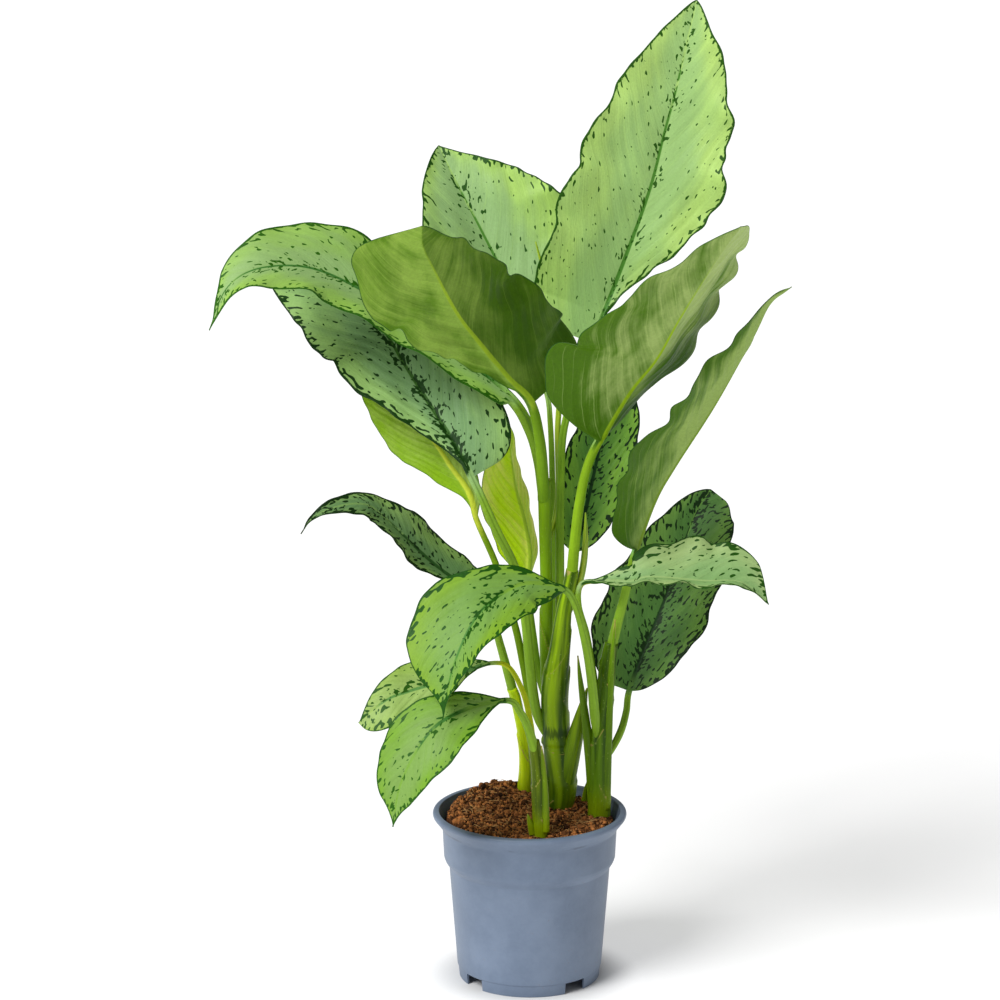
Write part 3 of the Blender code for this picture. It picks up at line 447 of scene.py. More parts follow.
class Signal:
    """A number or colour in a material, on which Python's arithmetic adds Math nodes."""

    def __init__(self, finish, socket):
        self.finish = finish
        self.socket = socket

    def maths(self, operation, *values):
        return self.finish.node("ShaderNodeMath", {"operation": operation}, dict(enumerate(values)))

    def __add__(self, other):
        return self.maths("ADD", self, other)

    __radd__ = __add__

    def __sub__(self, other):
        return self.maths("SUBTRACT", self, other)

    def __rsub__(self, other):
        return self.maths("SUBTRACT", other, self)

    def __mul__(self, other):
        return self.maths("MULTIPLY", self, other)

    __rmul__ = __mul__

    def __truediv__(self, other):
        return self.maths("DIVIDE", self, other)

    def __lt__(self, other):
        return self.maths("LESS_THAN", self, other)

    def __gt__(self, other):
        return self.maths("GREATER_THAN", self, other)

    def __abs__(self):
        return self.maths("ABSOLUTE", self)

    def power(self, exponent):
        return self.maths("POWER", self, exponent)

    def wave(self):
        return self.maths("SINE", self)

    def most(self, other):
        return self.maths("MAXIMUM", self, other)

    def between(self, low, high):
        """Rises smoothly from 0 where the number is low to 1 where it is high, or falls if low is the greater."""
        if low > high:
            return 1.0 - self.between(high, low)
        return self.finish.node(
            "ShaderNodeMapRange", {"interpolation_type": "SMOOTHSTEP"},
            {"Value": self, "From Min": low, "From Max": high},
        )


class Finish:
    """A material with one Principled shader, and short ways to add the nodes that feed it.

    A colour given as three numbers is a screen colour.
    """

    def __init__(self, name, **constants):
        self.material = bpy.data.materials.new(name)
        self.material.use_nodes = True
        self.tree = self.material.node_tree
        self.shader = self.tree.nodes["Principled BSDF"]
        for socket, value in constants.items():
            self.shader.inputs[socket.replace("_", " ")].default_value = value

    def node(self, kind, settings=None, inputs=None, output=0):
        """Adds a node: its settings first, then a value or a link for each named or numbered socket."""
        made = self.tree.nodes.new(kind)
        for setting, value in (settings or {}).items():
            setattr(made, setting, value)
        for socket, value in (inputs or {}).items():
            if isinstance(value, Signal):
                self.tree.links.new(value.socket, made.inputs[socket])
            else:
                made.inputs[socket].default_value = value
        return Signal(self, made.outputs[output])

    def feed(self, socket, signal):
        self.tree.links.new(signal.socket, self.shader.inputs[socket])

    def split(self, vector):
        """The three numbers of a vector."""
        first = self.node("ShaderNodeSeparateXYZ", inputs={0: vector})
        others = first.socket.node.outputs
        return first, Signal(self, others["Y"]), Signal(self, others["Z"])

    def attribute(self, name):
        """The three numbers that a mesh keeps at each point under this name."""
        return self.split(self.node("ShaderNodeAttribute", {"attribute_name": name}, output="Vector"))

    def place(self):
        return self.node("ShaderNodeTexCoord", output="Object")

    def noise(self, vector, scale=1.0, detail=2.0, roughness=0.5):
        inputs = {"Vector": vector, "Scale": scale, "Detail": detail, "Roughness": roughness}
        return self.node("ShaderNodeTexNoise", inputs=inputs)

    def pattern(self, along_it, across_it, paces, start, **settings):
        """Noise that runs at one pace along a surface and at another across it, from its own starting place."""
        inputs = {0: along_it * paces[0], 1: across_it * paces[1], 2: start}
        return self.noise(self.node("ShaderNodeCombineXYZ", inputs=inputs), **settings)

    def mix(self, share, first, second):
        """The first colour where the share is 0, and the second where it is 1."""
        first, second = [paint(*c) if isinstance(c, tuple) and len(c) == 3 else c for c in (first, second)]
        return self.node("ShaderNodeMix", {"data_type": "RGBA"}, {0: share, 6: first, 7: second}, output=2)

    def tint(self, colour, strength):
        """The colour made lighter or darker by a number near 1."""
        plain = colour if isinstance(colour, Signal) else paint(*colour)[:3]
        return self.node("ShaderNodeVectorMath", {"operation": "SCALE"}, {0: plain, "Scale": strength})

    def feed_bump(self, height, distance, strength):
        """Small relief from a height between 0 and 1, this many metres high."""
        inputs = {"Height": height, "Distance": distance, "Strength": strength}
        self.feed("Normal", self.node("ShaderNodeBump", inputs=inputs))


# Surfaces


def held(values):
    """The values, held between 0 and 1."""
    return np.clip(values, 0.0, 1.0)


def together(*values):
    """Numbers that belong to the same points, side by side on a last axis."""
    return np.stack(np.broadcast_arrays(*values), axis=-1)


def unit(vectors):
    return vectors / np.linalg.norm(vectors, axis=-1, keepdims=True)


def full_turn(count):
    """Angles evenly spread over a full turn, the last one short of the first."""
    return np.linspace(0.0, FULL_TURN, count, endpoint=False)


def smooth_route(points):
    """A curve through the points, each span a cubic whose slopes follow the points on either side."""
    points = np.asarray(points, dtype=float)
    padded = np.vstack([2 * points[0] - points[1], points, 2 * points[-1] - points[-2]])
    step = np.linspace(0.0, 1.0, ROUTE_STEPS, endpoint=False)[:, None]
    spans = []
    for before, start, end, after in zip(padded, padded[1:], padded[2:], padded[3:]):
        spans.append(
            0.5
            * (
                2 * start
                + (end - before) * step
                + (2 * before - 5 * start + 4 * end - after) * step**2
                + (3 * start - before - 3 * end + after) * step**3
            )
        )
    return np.vstack([*spans, points[-1:]])


def distance_along(centres):
    """Millimetres from the first centre to each one."""
    steps = np.linalg.norm(np.diff(centres, axis=0), axis=1)
    return np.concatenate([[0.0], np.cumsum(steps)])


def along(route, shares):
    """Points of the route at these shares of its length."""
    reached = distance_along(route[:, :3])
    wanted = shares * reached[-1]
    return np.stack([np.interp(wanted, reached, values) for values in route.T], axis=1)


def half_width(side, shares):
    """Half width along one side of a blade: a sine raised to a power for its base and another for its tip."""
    greatest, widest, base, tip = side
    power = math.log(0.5) / math.log(widest)
    swell = held(np.sin(math.pi * held(shares) ** power))
    return greatest * np.where(shares < widest, swell**base, swell**tip)


def directions(centres, turn):
    """Across and up of a blade whose upper face turns away from the front by these angles."""
    tangent = unit(np.gradient(centres, axis=0))
    front = np.array([0.0, -1.0, 0.0])
    toward = unit(front - (tangent @ front)[:, None] * tangent)
    sideways = np.cross(tangent, toward)
    angle = np.radians(turn)[:, None]
    across = np.cos(angle) * sideways - np.sin(angle) * toward
    up = np.cos(angle) * toward + np.sin(angle) * sideways
    return across, up


def offset(centres, across, up, out, rise):
    """The points this far across and this far up from each centre."""
    return centres[:, None, :] + across[:, None, :] * out[:, :, None] + up[:, None, :] * rise[:, :, None]


def facing_up(middle, up):
    """Unit normals of a sheet, turned to the side that up points to."""
    normal = unit(np.cross(np.gradient(middle, axis=1), np.gradient(middle, axis=0)))
    facing = np.sum(normal * up[:, None, :], axis=-1, keepdims=True)
    return np.where(facing < 0.0, -normal, normal)


def around(above, below):
    """Rings round a sheet from the values over it and under it, which share both margins."""
    return np.concatenate([above, below[:, -2:0:-1]], axis=1)


def ripples(first, second, seed):
    """Gentle random undulation of about 1 high: sines of two numbers with seeded directions and starts."""
    draw = np.random.default_rng(seed)
    total = np.zeros(np.broadcast(first, second).shape)
    for number in range(5):
        turn, start = draw.uniform(0.0, FULL_TURN, 2)
        pace = 1.0 + 0.35 * number
        total += np.sin(pace * (np.cos(turn) * first + np.sin(turn) * second) + start) / (1.0 + 0.5 * number)
    return total / 2.0


def ruffles(reached, spacing, seed):
    """Uneven small waves along a margin, about 1 high: sines of the distance along it with seeded starts."""
    starts = np.random.default_rng(seed).uniform(0.0, FULL_TURN, 3)
    total = np.zeros(reached.shape)
    for pace, height, start in zip((1.0, 1.63, 0.61), (1.0, 0.45, 0.6), starts):
        total += height * np.sin(FULL_TURN * pace * reached / spacing + start)
    return total / 1.5


def spread_columns():
    """Places across a blade from -1 to 1, evenly spread but for two close together at each margin."""
    half = np.concatenate([np.linspace(0.0, 0.965, HALF_COLUMNS - 1), [0.985, 1.0]])
    return np.concatenate([-half[:0:-1], half])[None, :]


def greatest_width(leaf):
    """The half width of a leaf's broader side."""
    return max(leaf.left[0], leaf.right[0])


def vein_spacing(leaf):
    """Millimetres between side veins: wider on a broad leaf."""
    return min(max(VEIN_SPACING_SHARE * greatest_width(leaf), VEIN_SPACING_LEAST), VEIN_SPACING_MOST)


def leaf_rows(leaf):
    """Centre line of a leaf, stalk first, with the share of the stalk and of the blade at each row."""
    stalk_route = smooth_route([*leaf.stalk, *leaf.blade[:2]])[: ROUTE_STEPS * len(leaf.stalk) + 1]
    blade_route = smooth_route([leaf.stalk[-1], *leaf.blade])[ROUTE_STEPS:]
    stalk_share = np.linspace(0.0, 1.0, STALK_ROWS)
    even = np.linspace(0.0, 1.0, BLADE_ROWS)
    blade_share = 0.5 * even + 0.25 * (1.0 - np.cos(math.pi * even))
    centres = np.vstack([along(stalk_route, stalk_share)[:-1], along(blade_route, blade_share)])
    on_stalk = np.concatenate([stalk_share[:-1], np.ones(BLADE_ROWS)])
    on_blade = np.concatenate([np.full(STALK_ROWS - 1, -1.0), blade_share])
    return centres, on_stalk, on_blade


def leaf_surface(leaf, seed):
    """Rings round a leaf from its foot to its tip, and what its finish reads at each point.

    Across the blade a point lies at a share of the half width. It rises with the fold, with a sine wave and
    small ruffles that grow towards the margin, with a quilt that dips along the side veins, and with a seeded
    undulation. The upper face is sunk along the midrib and the lower face swells to a rib, which carries on as
    the round stalk, whose foot narrows where it lies against its stem.
    """
    centres, on_stalk, on_blade = leaf_rows(leaf)
    turn = np.interp(on_blade, np.linspace(0.0, 1.0, len(leaf.turn)), leaf.turn)
    across, up = directions(centres, turn)
    share = held(on_blade)
    is_blade = on_blade >= 0.0
    reached = distance_along(centres)[:, None]

    # Half width of each side and radius of the rib at each row
    fade = np.where(is_blade, held(1.0 - share / RIB_END) ** RIB_FADE, 1.0)
    foot = leaf.foot + (1.0 - leaf.foot) * np.sin(0.5 * math.pi * held(reached[:, 0] / FOOT_TAPER))
    thick = np.interp(on_stalk, [0.0, 1.0], leaf.stalk_radius) * foot
    rib_radius = np.maximum(thick * fade, BLADE_HALF_THICKNESS)
    narrowing = 1.0 - leaf.drip * held((share - DRIP_START) / (1.0 - DRIP_START))
    left, right = [
        np.maximum(np.where(is_blade, np.maximum(half_width(side, share) * narrowing, TIP_HALF_WIDTH), 0.0), rib_radius)
        for side in (leaf.left, leaf.right)
    ]
    narrow = np.minimum(left, right)
    opened = held((narrow - rib_radius) / narrow)[:, None]

    # Where each point lies across the blade and between its side veins
    even = spread_columns()
    columns = opened * even + (1.0 - opened) * np.sin(0.5 * math.pi * even)
    on_left = columns < 0.0
    full = np.where(on_left, left[:, None], right[:, None])
    from_rib = np.abs(columns) * full
    on_the_blade = reached - reached[STALK_ROWS - 1]
    vein = on_the_blade - VEIN_LEAN * from_rib - VEIN_BEND * from_rib**2 / np.maximum(full, 1.0)

    # The waved and folded middle of the blade
    waves, height, scallop = leaf.ripple
    wave = FULL_TURN * (waves * share[:, None] + np.where(on_left, *leaf.phase))
    swell = held(np.sin(math.pi * share))[:, None] ** WAVE_FADE * opened
    envelope = swell * columns**2
    left_ruffle, right_ruffle, spacing = leaf.ruffle
    ruffle = np.where(on_left, left_ruffle, right_ruffle) * swell * columns**4
    waved, in_and_out = [
        np.where(on_left, ruffles(reached, spacing, seed + first), ruffles(reached, spacing, seed + first + 50))
        for first in (0, 100)
    ]
    fold = math.radians(leaf.fold) * opened
    middle_of_half = np.sin(math.pi * np.abs(columns)) * swell
    wander = VEIN_WANDER * ripples(reached / VEIN_WANDER_LENGTH, from_rib / VEIN_WANDER_LENGTH, seed + 9)
    dips = np.abs(np.sin(math.pi * (vein + wander) / vein_spacing(leaf)))
    pucker = ripples(reached / PUCKER_LENGTH, columns * full / PUCKER_WIDTH, seed) * middle_of_half
    out = columns * full * np.cos(fold) * (1.0 + scallop * np.cos(wave) * envelope)
    out = out + np.sign(columns) * RUFFLE_SIDEWAYS * ruffle * in_and_out
    rise = from_rib * np.sin(fold) + height * np.sin(wave) * envelope + ruffle * waved
    rise = rise + leaf.quilt * (dips - QUILT_LEVEL) * middle_of_half + PUCKER * greatest_width(leaf) * pucker
    middle = offset(centres, across, up, out, rise)

    # How thick it is above and below
    oval = rib_radius[:, None] * np.sqrt(held(1.0 - columns**2))
    thin = BLADE_HALF_THICKNESS * np.where(np.abs(even) < 1.0, 1.0, 0.0)
    rib = rib_radius[:, None] * held(1.0 - (from_rib / (RIB_SPREAD * rib_radius[:, None] + 1.0)) ** 2)
    channel = CHANNEL_DEPTH * fade[:, None] * np.exp(-((from_rib / CHANNEL_WIDTH) ** 2)) * opened
    groove = GROOVE_SHARE * rib_radius[:, None] * np.exp(-((columns / GROOVE_WIDTH) ** 2))
    top = opened * thin + (1.0 - opened) * oval - channel - groove * on_stalk[:, None] * (1.0 - opened)
    bottom = opened * np.maximum(rib, thin) + (1.0 - opened) * oval
    normal = facing_up(middle, up)
    rings = around(middle + normal * top[:, :, None], middle - normal * bottom[:, :, None])

    along_it = np.where(is_blade, share, on_stalk - 1.0)[:, None]
    place = together(vein, columns * full, (1.0 - np.abs(columns)) * full)
    part = together(along_it, np.ones(columns.shape), on_the_blade)
    part_below = part * np.array([1.0, -1.0, 1.0])
    return rings, {"place": around(place, place), "part": around(part, part_below)}


def tube_surface(route, rows, sides, swell=None):
    """Rings along a route whose points carry their own radius, each ring a circle square to the route.

    swell takes the millimetres along and the angle round, and gives what is added to the radius.
    """
    samples = along(smooth_route(route), np.linspace(0.0, 1.0, rows))
    centres, radius = samples[:, :3], samples[:, 3]
    across, up = directions(centres, np.zeros(rows))
    reached, angle = np.broadcast_arrays(distance_along(centres)[:, None], full_turn(sides))
    reach = radius[:, None] + (swell(reached, angle) if swell else 0.0)
    ring = across[:, None, :] * np.cos(angle)[:, :, None] + up[:, None, :] * np.sin(angle)[:, :, None]
    return centres[:, None, :] + ring * reach[:, :, None], reached, angle


def edge_place(stem, reached, angle):
    """How far a point of a stem is from one sheath edge to the next, 0 just above an edge and 1 just below one."""
    levels = [0.0]
    shifted = [reached]
    for level, slant, direction in stem.edges:
        levels.append(level)
        shifted.append(reached - slant * np.cos(angle - math.radians(direction)))
    levels.append(float(reached.max()) + 20.0)
    place = reached / levels[1]
    for number in range(1, len(levels) - 1):
        before, level, after = levels[number - 1 : number + 2]
        beyond = shifted[number] - level
        below = np.where(shifted[number] > before, held(1.0 + beyond / (level - before)), place)
        place = np.where(beyond < 0.0, below, beyond / (after - level))
    return held(place)


def stem_surface(stem, tone=0.0):
    """A stem's rings: the radius steps in by a sheath's thickness above each edge and thickens again slowly."""
    length = distance_along(smooth_route(stem.route)[:, :3])[-1]

    def swell(reached, angle):
        return SHEATH_STEP * (edge_place(stem, reached, angle) ** 2 - SHEATH_STEP_LEVEL)

    points, reached, angle = tube_surface(stem.route, int(length / STEM_ROW_SPACING), STEM_SIDES, swell)
    place = together(reached, angle * STEM_ROUND_SCALE, edge_place(stem, reached, angle))
    part = together(points[:, :, 2], 0.0, 0.0)
    return points, {"place": place, "part": part, "tone": np.full(points.shape, tone)}


def sheath_surface(sheath):
    """A pointed boat shape that narrows from foot to tip, its open side towards the stem, with thin edges."""
    shares = np.linspace(0.0, 1.0, SHEATH_ROWS)
    centres = along(smooth_route(sheath.route), shares)
    across, up = directions(centres, np.full(SHEATH_ROWS, float(sheath.turn)))
    width = np.maximum(sheath.half_width * (1.0 - shares**2) ** SHEATH_TAPER, SHEATH_TIP_WIDTH)[:, None]
    columns = np.linspace(-1.0, 1.0, SHEATH_COLUMNS)[None, :]
    bend = math.radians(sheath.fold) * np.abs(columns)
    middle = offset(centres, across, up, columns * width * np.cos(bend), np.abs(columns) * width * np.sin(bend))
    thick = facing_up(middle, up) * (SHEATH_HALF_THICKNESS * np.sqrt(held(1.0 - columns**6))[:, :, None])
    place = together(distance_along(centres)[:, None], columns * width, 0.5)
    part = together(middle[:, :, 2], 1.0, (1.0 - np.abs(columns)) * width)
    rings = around(middle + thick, middle - thick)
    return rings, {"place": around(place, place), "part": around(part, part), "tone": np.full(rings.shape, SHEATH_TONE)}


def ring_faces(rows, ring):
    """Four-cornered faces between neighbouring rings, and at each end the faces that close it."""
    row, column = np.meshgrid(np.arange(rows - 1), np.arange(ring), indexing="ij")
    after = (column + 1) % ring
    corners = [row * ring + column, row * ring + after, (row + 1) * ring + after, (row + 1) * ring + column]
    sides = np.stack(corners, axis=-1).reshape(-1, 4)
    half = ring // 2
    there = np.arange(1, half - 1)
    strip = np.stack([there, there + 1, ring - there - 1, ring - there], axis=-1)
    last = (rows - 1) * ring
    ends = [strip[:, ::-1], strip + last]
    points = np.array([[0, 1, ring - 1], [half - 1, half, half + 1]])
    tips = [points[:, ::-1], points + last]
    return [sides, np.concatenate(ends), np.concatenate(tips)]


def turned_faces(spokes, count, gap):
    """Faces of a closed profile turned about the upright axis.

    The profile is open after the point numbered gap. There two more points, the lower and then the upper one,
    lie on the axis, and triangles close the piece.
    """
    row, column = np.meshgrid(np.arange(spokes), np.arange(count), indexing="ij")
    after, beside = (row + 1) % spokes, (column + 1) % count
    corners = [row * count + column, row * count + beside, after * count + beside, after * count + column]
    quads = np.stack(corners, axis=-1)[column != gap]
    start = np.arange(spokes) * count
    low, high = start + gap, start + (gap + 1) % count
    caps = [
        together(low, spokes * count, np.roll(low, -1)),
        together(high, np.roll(high, -1), spokes * count + 1),
    ]
    return [quads, np.concatenate(caps)]


def volume(points, faces):
    """Signed volume of a closed surface, each face taken as a fan of triangles."""
    total = 0.0
    for group in faces:
        for corner in range(1, group.shape[1] - 1):
            first, second, third = points[group[:, 0]], points[group[:, corner]], points[group[:, corner + 1]]
            total += np.sum(first * np.cross(second, third))
    return total / 6.0


class Piece:
    """A mesh under construction: surfaces are added to it, and it is then made an object that rides on the part."""

    def __init__(self, name):
        self.name = name
        self.points = []
        self.faces = {3: [], 4: []}
        self.fields = {}
        self.count = 0

    def add(self, points, faces, fields=None):
        """Adds a closed surface in millimetres, turned so that its faces point outwards."""
        if volume(points, faces) < 0.0:
            faces = [group[:, ::-1] for group in faces]
        for group in faces:
            self.faces[group.shape[1]].append(group + self.count)
        for name, values in (fields or {}).items():
            self.fields.setdefault(name, []).append(values)
        self.points.append(points)
        self.count += len(points)

    def add_rings(self, rings, fields):
        flat = {name: values.reshape(-1, 3) for name, values in fields.items()}
        self.add(rings.reshape(-1, 3), ring_faces(*rings.shape[:2]), flat)

    def build(self, finish, slot, *nodes):
        points = np.concatenate(self.points) * MM
        groups = [np.concatenate(groups) for groups in self.faces.values() if groups]
        corners = np.concatenate([group.ravel() for group in groups])
        sizes = np.concatenate([np.full(len(group), group.shape[1]) for group in groups])
        starts = np.concatenate([[0], np.cumsum(sizes)[:-1]])
        mesh = bpy.data.meshes.new(self.name)
        mesh.vertices.add(len(points))
        mesh.vertices.foreach_set("co", points.astype(np.float32).ravel())
        mesh.loops.add(len(corners))
        mesh.loops.foreach_set("vertex_index", corners.astype(np.int32))
        mesh.polygons.add(len(sizes))
        mesh.polygons.foreach_set("loop_start", starts.astype(np.int32))
        for name, values in self.fields.items():
            attribute = mesh.attributes.new(name, "FLOAT_VECTOR", "POINT")
            attribute.data.foreach_set("vector", np.concatenate(values).astype(np.float32).ravel())
        mesh.update(calc_edges=True)
        mesh.validate()
        mesh.shade_smooth()
        mesh.materials.append(finish.material)
        thing = bpy.data.objects.new(self.name, mesh)
        bpy.context.scene.collection.objects.link(thing)
        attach(thing, "root")
        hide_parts(*nodes)
        return thing


# Finishes

# How the marks on an upper face are laid out. A mark is where its noise, helped by how thick the marks stand
# there, passes a level. Reaches are in millimetres from the margin or midrib, where the marks stand thinnest
# and thickest.
MARK_LEAN = (0.94, 0.34)
ISLAND_LEVEL = 0.75
ISLAND_CROWDING = 0.25
ISLAND_REACH = (11.0, 2.0)
BLOT_LEVEL = 0.78
BLOT_CROWDING = 0.24
BLOT_REACH = (15.0, 2.0)
LEAST_LINE = 0.8

# Where the pot's inner wall carries painted shade, and the painted shadow line under its lip, in metres
POT_INSIDE_RADIUS = 0.0748
POT_INSIDE_LEAN = 0.03
POT_INSIDE_FOOT = 0.11
POT_INSIDE_LEVELS = (0.1125, 0.1485)
UNDER_LIP_RADII = (0.0772, 0.0788)
UNDER_LIP_LEVELS = (0.13, 0.1395)

# Heights of the glow at a stem's foot, where it is palest last
FOOT_GLOW_LEVELS = (176.0, 148.0)


def leaf_finish(name, leaf, seed):
    """A leaf's skin. The upper face is pale, yellower towards the margin, with clouds and streaks along its veins.

    Dark green lies in a line of uneven width at the margin and in rounded islands, which are noise stretched
    along a line that leaves the midrib slowly, cut off at a level that drops where the marks crowd. The midrib
    is dark over part of its length. The lower face has no marks but soft pale clouds and sweeps, which thicken
    towards the tip, one side or the midrib, and a bright rib.
    """
    skin = Finish(name, Roughness=0.5, Specular_IOR_Level=0.16)
    vein, from_rib, edge = skin.attribute("place")
    share, face, reached = skin.attribute("part")
    width = abs(from_rib)
    side = from_rib > 0.0
    start = seed + 7.0 * side
    clouds = skin.pattern(reached, from_rib, (0.014, 0.032), seed, detail=3.0, roughness=0.55)
    sweeps = skin.pattern(vein, width, (0.06, 0.014), start)
    streaks = skin.pattern(vein, width, (0.32, 0.05), start, detail=3.0)
    grain = skin.pattern(reached, from_rib, (0.45, 0.45), seed, detail=4.0, roughness=0.6)
    crease = 1.0 - abs((vein * (math.pi / vein_spacing(leaf)) + 2.5 * (clouds - 0.5)).wave())
    side_vein = crease.between(0.84, 1.0) * edge.between(3.0, 14.0) * sweeps.between(0.35, 0.6)
    outward = (width / (width + edge + 1.0)).between(0.0, 1.0)

    # The pale ground of the upper face
    yellow = (outward * 0.8 + 1.5 * (clouds - 0.5) + 0.5 * (sweeps - 0.5)).between(0.0, 1.0)
    pale = skin.mix(yellow, leaf.inner, leaf.outer)
    pale = skin.tint(pale, 0.7 + 0.25 * sweeps + 0.15 * streaks + 0.25 * grain)
    pale = skin.mix(side_vein * 0.22, pale, skin.tint(leaf.outer, 1.12))

    # Its dark margin, islands and blots
    line, by_margin, by_rib, elsewhere = leaf.spots
    first, last = leaf.rib_span
    uneven = skin.pattern(reached, side, (0.05, 3.0), seed + 9.0)
    ragged = skin.pattern(reached, width, (0.2, 0.25), start + 8.0, roughness=0.6)
    reach = line * (0.9 + 2.0 * (uneven - 0.45) + 2.0 * (ragged - 0.5))
    marks = (edge - reach.most(LEAST_LINE * line)).between(0.35, -0.25)
    lean_cos, lean_sin = MARK_LEAN
    along_mark, across_mark = lean_cos * reached + lean_sin * width, lean_cos * width - lean_sin * reached
    islands = skin.pattern(along_mark, across_mark, (0.16, 0.36), start + 22.0, detail=0.0)
    clusters = skin.pattern(reached, side, (0.035, 2.0), seed + 15.0, detail=1.0).between(0.34, 0.58)
    clusters = by_rib * clusters * share.between(first - 0.15, first + 0.1)
    crowd = by_margin * edge.between(*ISLAND_REACH) * (0.2 + 1.4 * uneven) + elsewhere * 0.6
    crowd = crowd.most(width.between(*ISLAND_REACH) * clusters)
    marks = marks.most((islands + ISLAND_CROWDING * crowd - ISLAND_LEVEL).between(0.0, 0.03))
    blots = skin.pattern(reached * 0.29 - width * 0.17, width, (1.0, 0.23), start + 12.0, detail=1.0)
    crowd = width.between(*BLOT_REACH) * clusters + 0.7 * elsewhere
    marks = marks.most((blots + BLOT_CROWDING * crowd - BLOT_LEVEL).between(0.0, 0.02))
    marks = marks * share.between(0.0, 0.02)

    # Its midrib
    on_rib = (width - (0.45 + 1.5 * (1.0 - share))).between(0.7, -0.2)
    broken = (uneven + 0.8 * (ragged - 0.5) - 0.4).between(0.0, 0.1).most(share.between(last, last - 0.1))
    dark_rib = on_rib * broken * share.between(first, first + 0.1) * share.between(last + 0.12, last + 0.04)
    upper = skin.mix(on_rib * 0.6, pale, skin.tint(leaf.outer, 1.05))
    upper = skin.mix(dark_rib, upper, skin.tint(leaf.rib, 0.8 + 0.4 * streaks))
    upper = skin.mix(marks, upper, skin.tint(leaf.mark, 0.3 + 0.75 * grain))

    # The lower face
    to_tip, to_right, to_margin = leaf.lower
    lean = to_tip * (share - 0.5) + to_right * (side - 0.5) + to_margin * (outward - 0.5)
    soft = 2.4 * (clouds - 0.5) + 1.0 * (sweeps - 0.5) + 0.7 * (streaks - 0.5)
    lower = skin.mix((soft + lean + 0.45).between(0.0, 1.0), leaf.back, leaf.back_pale)
    lower = skin.mix(side_vein * 0.5, lower, skin.tint(leaf.back_pale, 1.15))
    lower = skin.tint(lower, 0.75 + 0.5 * grain)
    # Painted shade: one half of the lower face is made darker than the other, for the half turned from the light.
    left_painted_shade, right_painted_shade = leaf.shade
    lower = skin.tint(lower, left_painted_shade + (right_painted_shade - left_painted_shade) * from_rib.between(-1.5, 1.5))
    lower = skin.mix(edge.between(1.6, 0.3) * 0.5, lower, leaf.mark)
    rib = (width - (0.3 + 2.2 * (1.0 - share))).between(0.6, -0.5) * share.between(0.98, 0.5)
    lower = skin.mix(rib, lower, skin.tint(leaf.rib_back, 0.8 + 0.4 * streaks))

    colour = skin.mix(face > 0.0, lower, upper)
    stalk_streaks = skin.pattern(reached, from_rib, (0.03, 0.8), seed, detail=3.0)
    stalk = skin.tint(leaf.stalk_colour, 0.5 + 0.7 * stalk_streaks + 0.3 * grain)
    skin.feed("Base Color", skin.mix(share.between(-0.1, 0.0), stalk, colour))
    skin.feed("Roughness", 0.4 + 0.14 * streaks + 0.1 * (face < 0.0))
    skin.feed_bump(streaks * 0.4 + grain * 0.3 + crease * 0.3, 0.0012, 0.55)
    return skin


def stem_finish(name, stem, seed):
    """A fleshy stem with soft long streaks and fine pale dots: its own markings, with painted highlight and shade in
    them.

    It has painted shade in a dark band just above each sheath edge, the edge's dry line, a pale glow at the foot and a
    dark ring where the stem has one.
    """
    skin = Finish(name, Roughness=0.34, Specular_IOR_Level=0.14)
    reached, round_it, step = skin.attribute("place")
    level, on_sheath, edge = skin.attribute("part")
    tone, _, _ = skin.attribute("tone")
    on_stem = 1.0 - on_sheath
    streaks = skin.pattern(reached, round_it, (0.01, 0.22), seed)
    fine = skin.pattern(reached, round_it, (0.04, 1.1), seed + 2.0, detail=3.0)
    pale_specks_and_glints = skin.pattern(reached, round_it, (0.35, 0.75), seed + 6.0, detail=1.0).between(0.68, 0.74)
    wear = skin.pattern(reached, round_it, (0.1, 0.2), seed + 4.0).between(0.36, 0.52)
    patches = skin.noise(skin.place(), scale=26.0)
    # The streaks mix the stem's colour with a darker copy of it: partly its own streaking, partly painted highlight and
    # shade.
    colour = skin.mix(streaks.between(0.32, 0.68), stem.shade, stem.colour)
    colour = skin.mix(tone, colour, skin.tint((118, 158, 6), 0.8 + 0.4 * streaks))
    colour = skin.tint(colour, 0.55 + 0.5 * patches + 0.4 * fine)
    foot = (level + 24.0 * (patches - 0.5)).between(*FOOT_GLOW_LEVELS) * stem.foot_glow
    colour = skin.mix(foot * 0.8, colour, skin.tint((158, 184, 8), 0.8 + 0.4 * fine))
    # Painted shade: a dark band in the step just above each sheath edge.
    crease = step.between(0.1, 0.0) * on_stem
    colour = skin.mix(crease * patches.between(0.4, 0.65) * 0.5, colour, (22, 46, 8))
    if stem.ring:
        ring = abs(level + 12.0 * (patches - 0.5) + 16.0 * (fine - 0.5) - stem.ring).between(7.0, 2.0)
        colour = skin.mix(ring * on_stem * 0.7, colour, (18, 54, 10))
    # Pale dots: partly the stem's own speckling, partly painted highlight.
    colour = skin.mix(pale_specks_and_glints * 0.35, colour, (170, 196, 100))
    dry = (step.between(0.93, 0.965) * on_stem).most(edge.between(0.9, 0.25) * on_sheath)
    colour = skin.mix(dry * wear * 0.8, colour, (176, 160, 84))
    skin.feed("Base Color", colour)
    skin.feed("Roughness", 0.22 + 0.24 * streaks)
    skin.feed_bump(fine * 0.7 + patches * 0.3, 0.0012, 0.5)
    return skin


def rolled_finish():
    """A rolled young leaf: bright yellow-green with a darker seam that winds round it."""
    skin = Finish("rolled_leaf_skin", Roughness=0.4)
    reached, round_it, _ = skin.attribute("place")
    streaks = skin.pattern(reached, round_it, (0.03, 0.6), 3.0, detail=3.0)
    colour = skin.mix(streaks.between(0.3, 0.7), (120, 158, 16), (186, 206, 44))
    seam = abs((reached * 0.035 + round_it * 0.16).wave()).between(0.1, 0.0)
    skin.feed("Base Color", skin.mix(seam * 0.5, colour, (70, 104, 14)))
    skin.feed_bump(streaks, 0.0008, 0.4)
    return skin


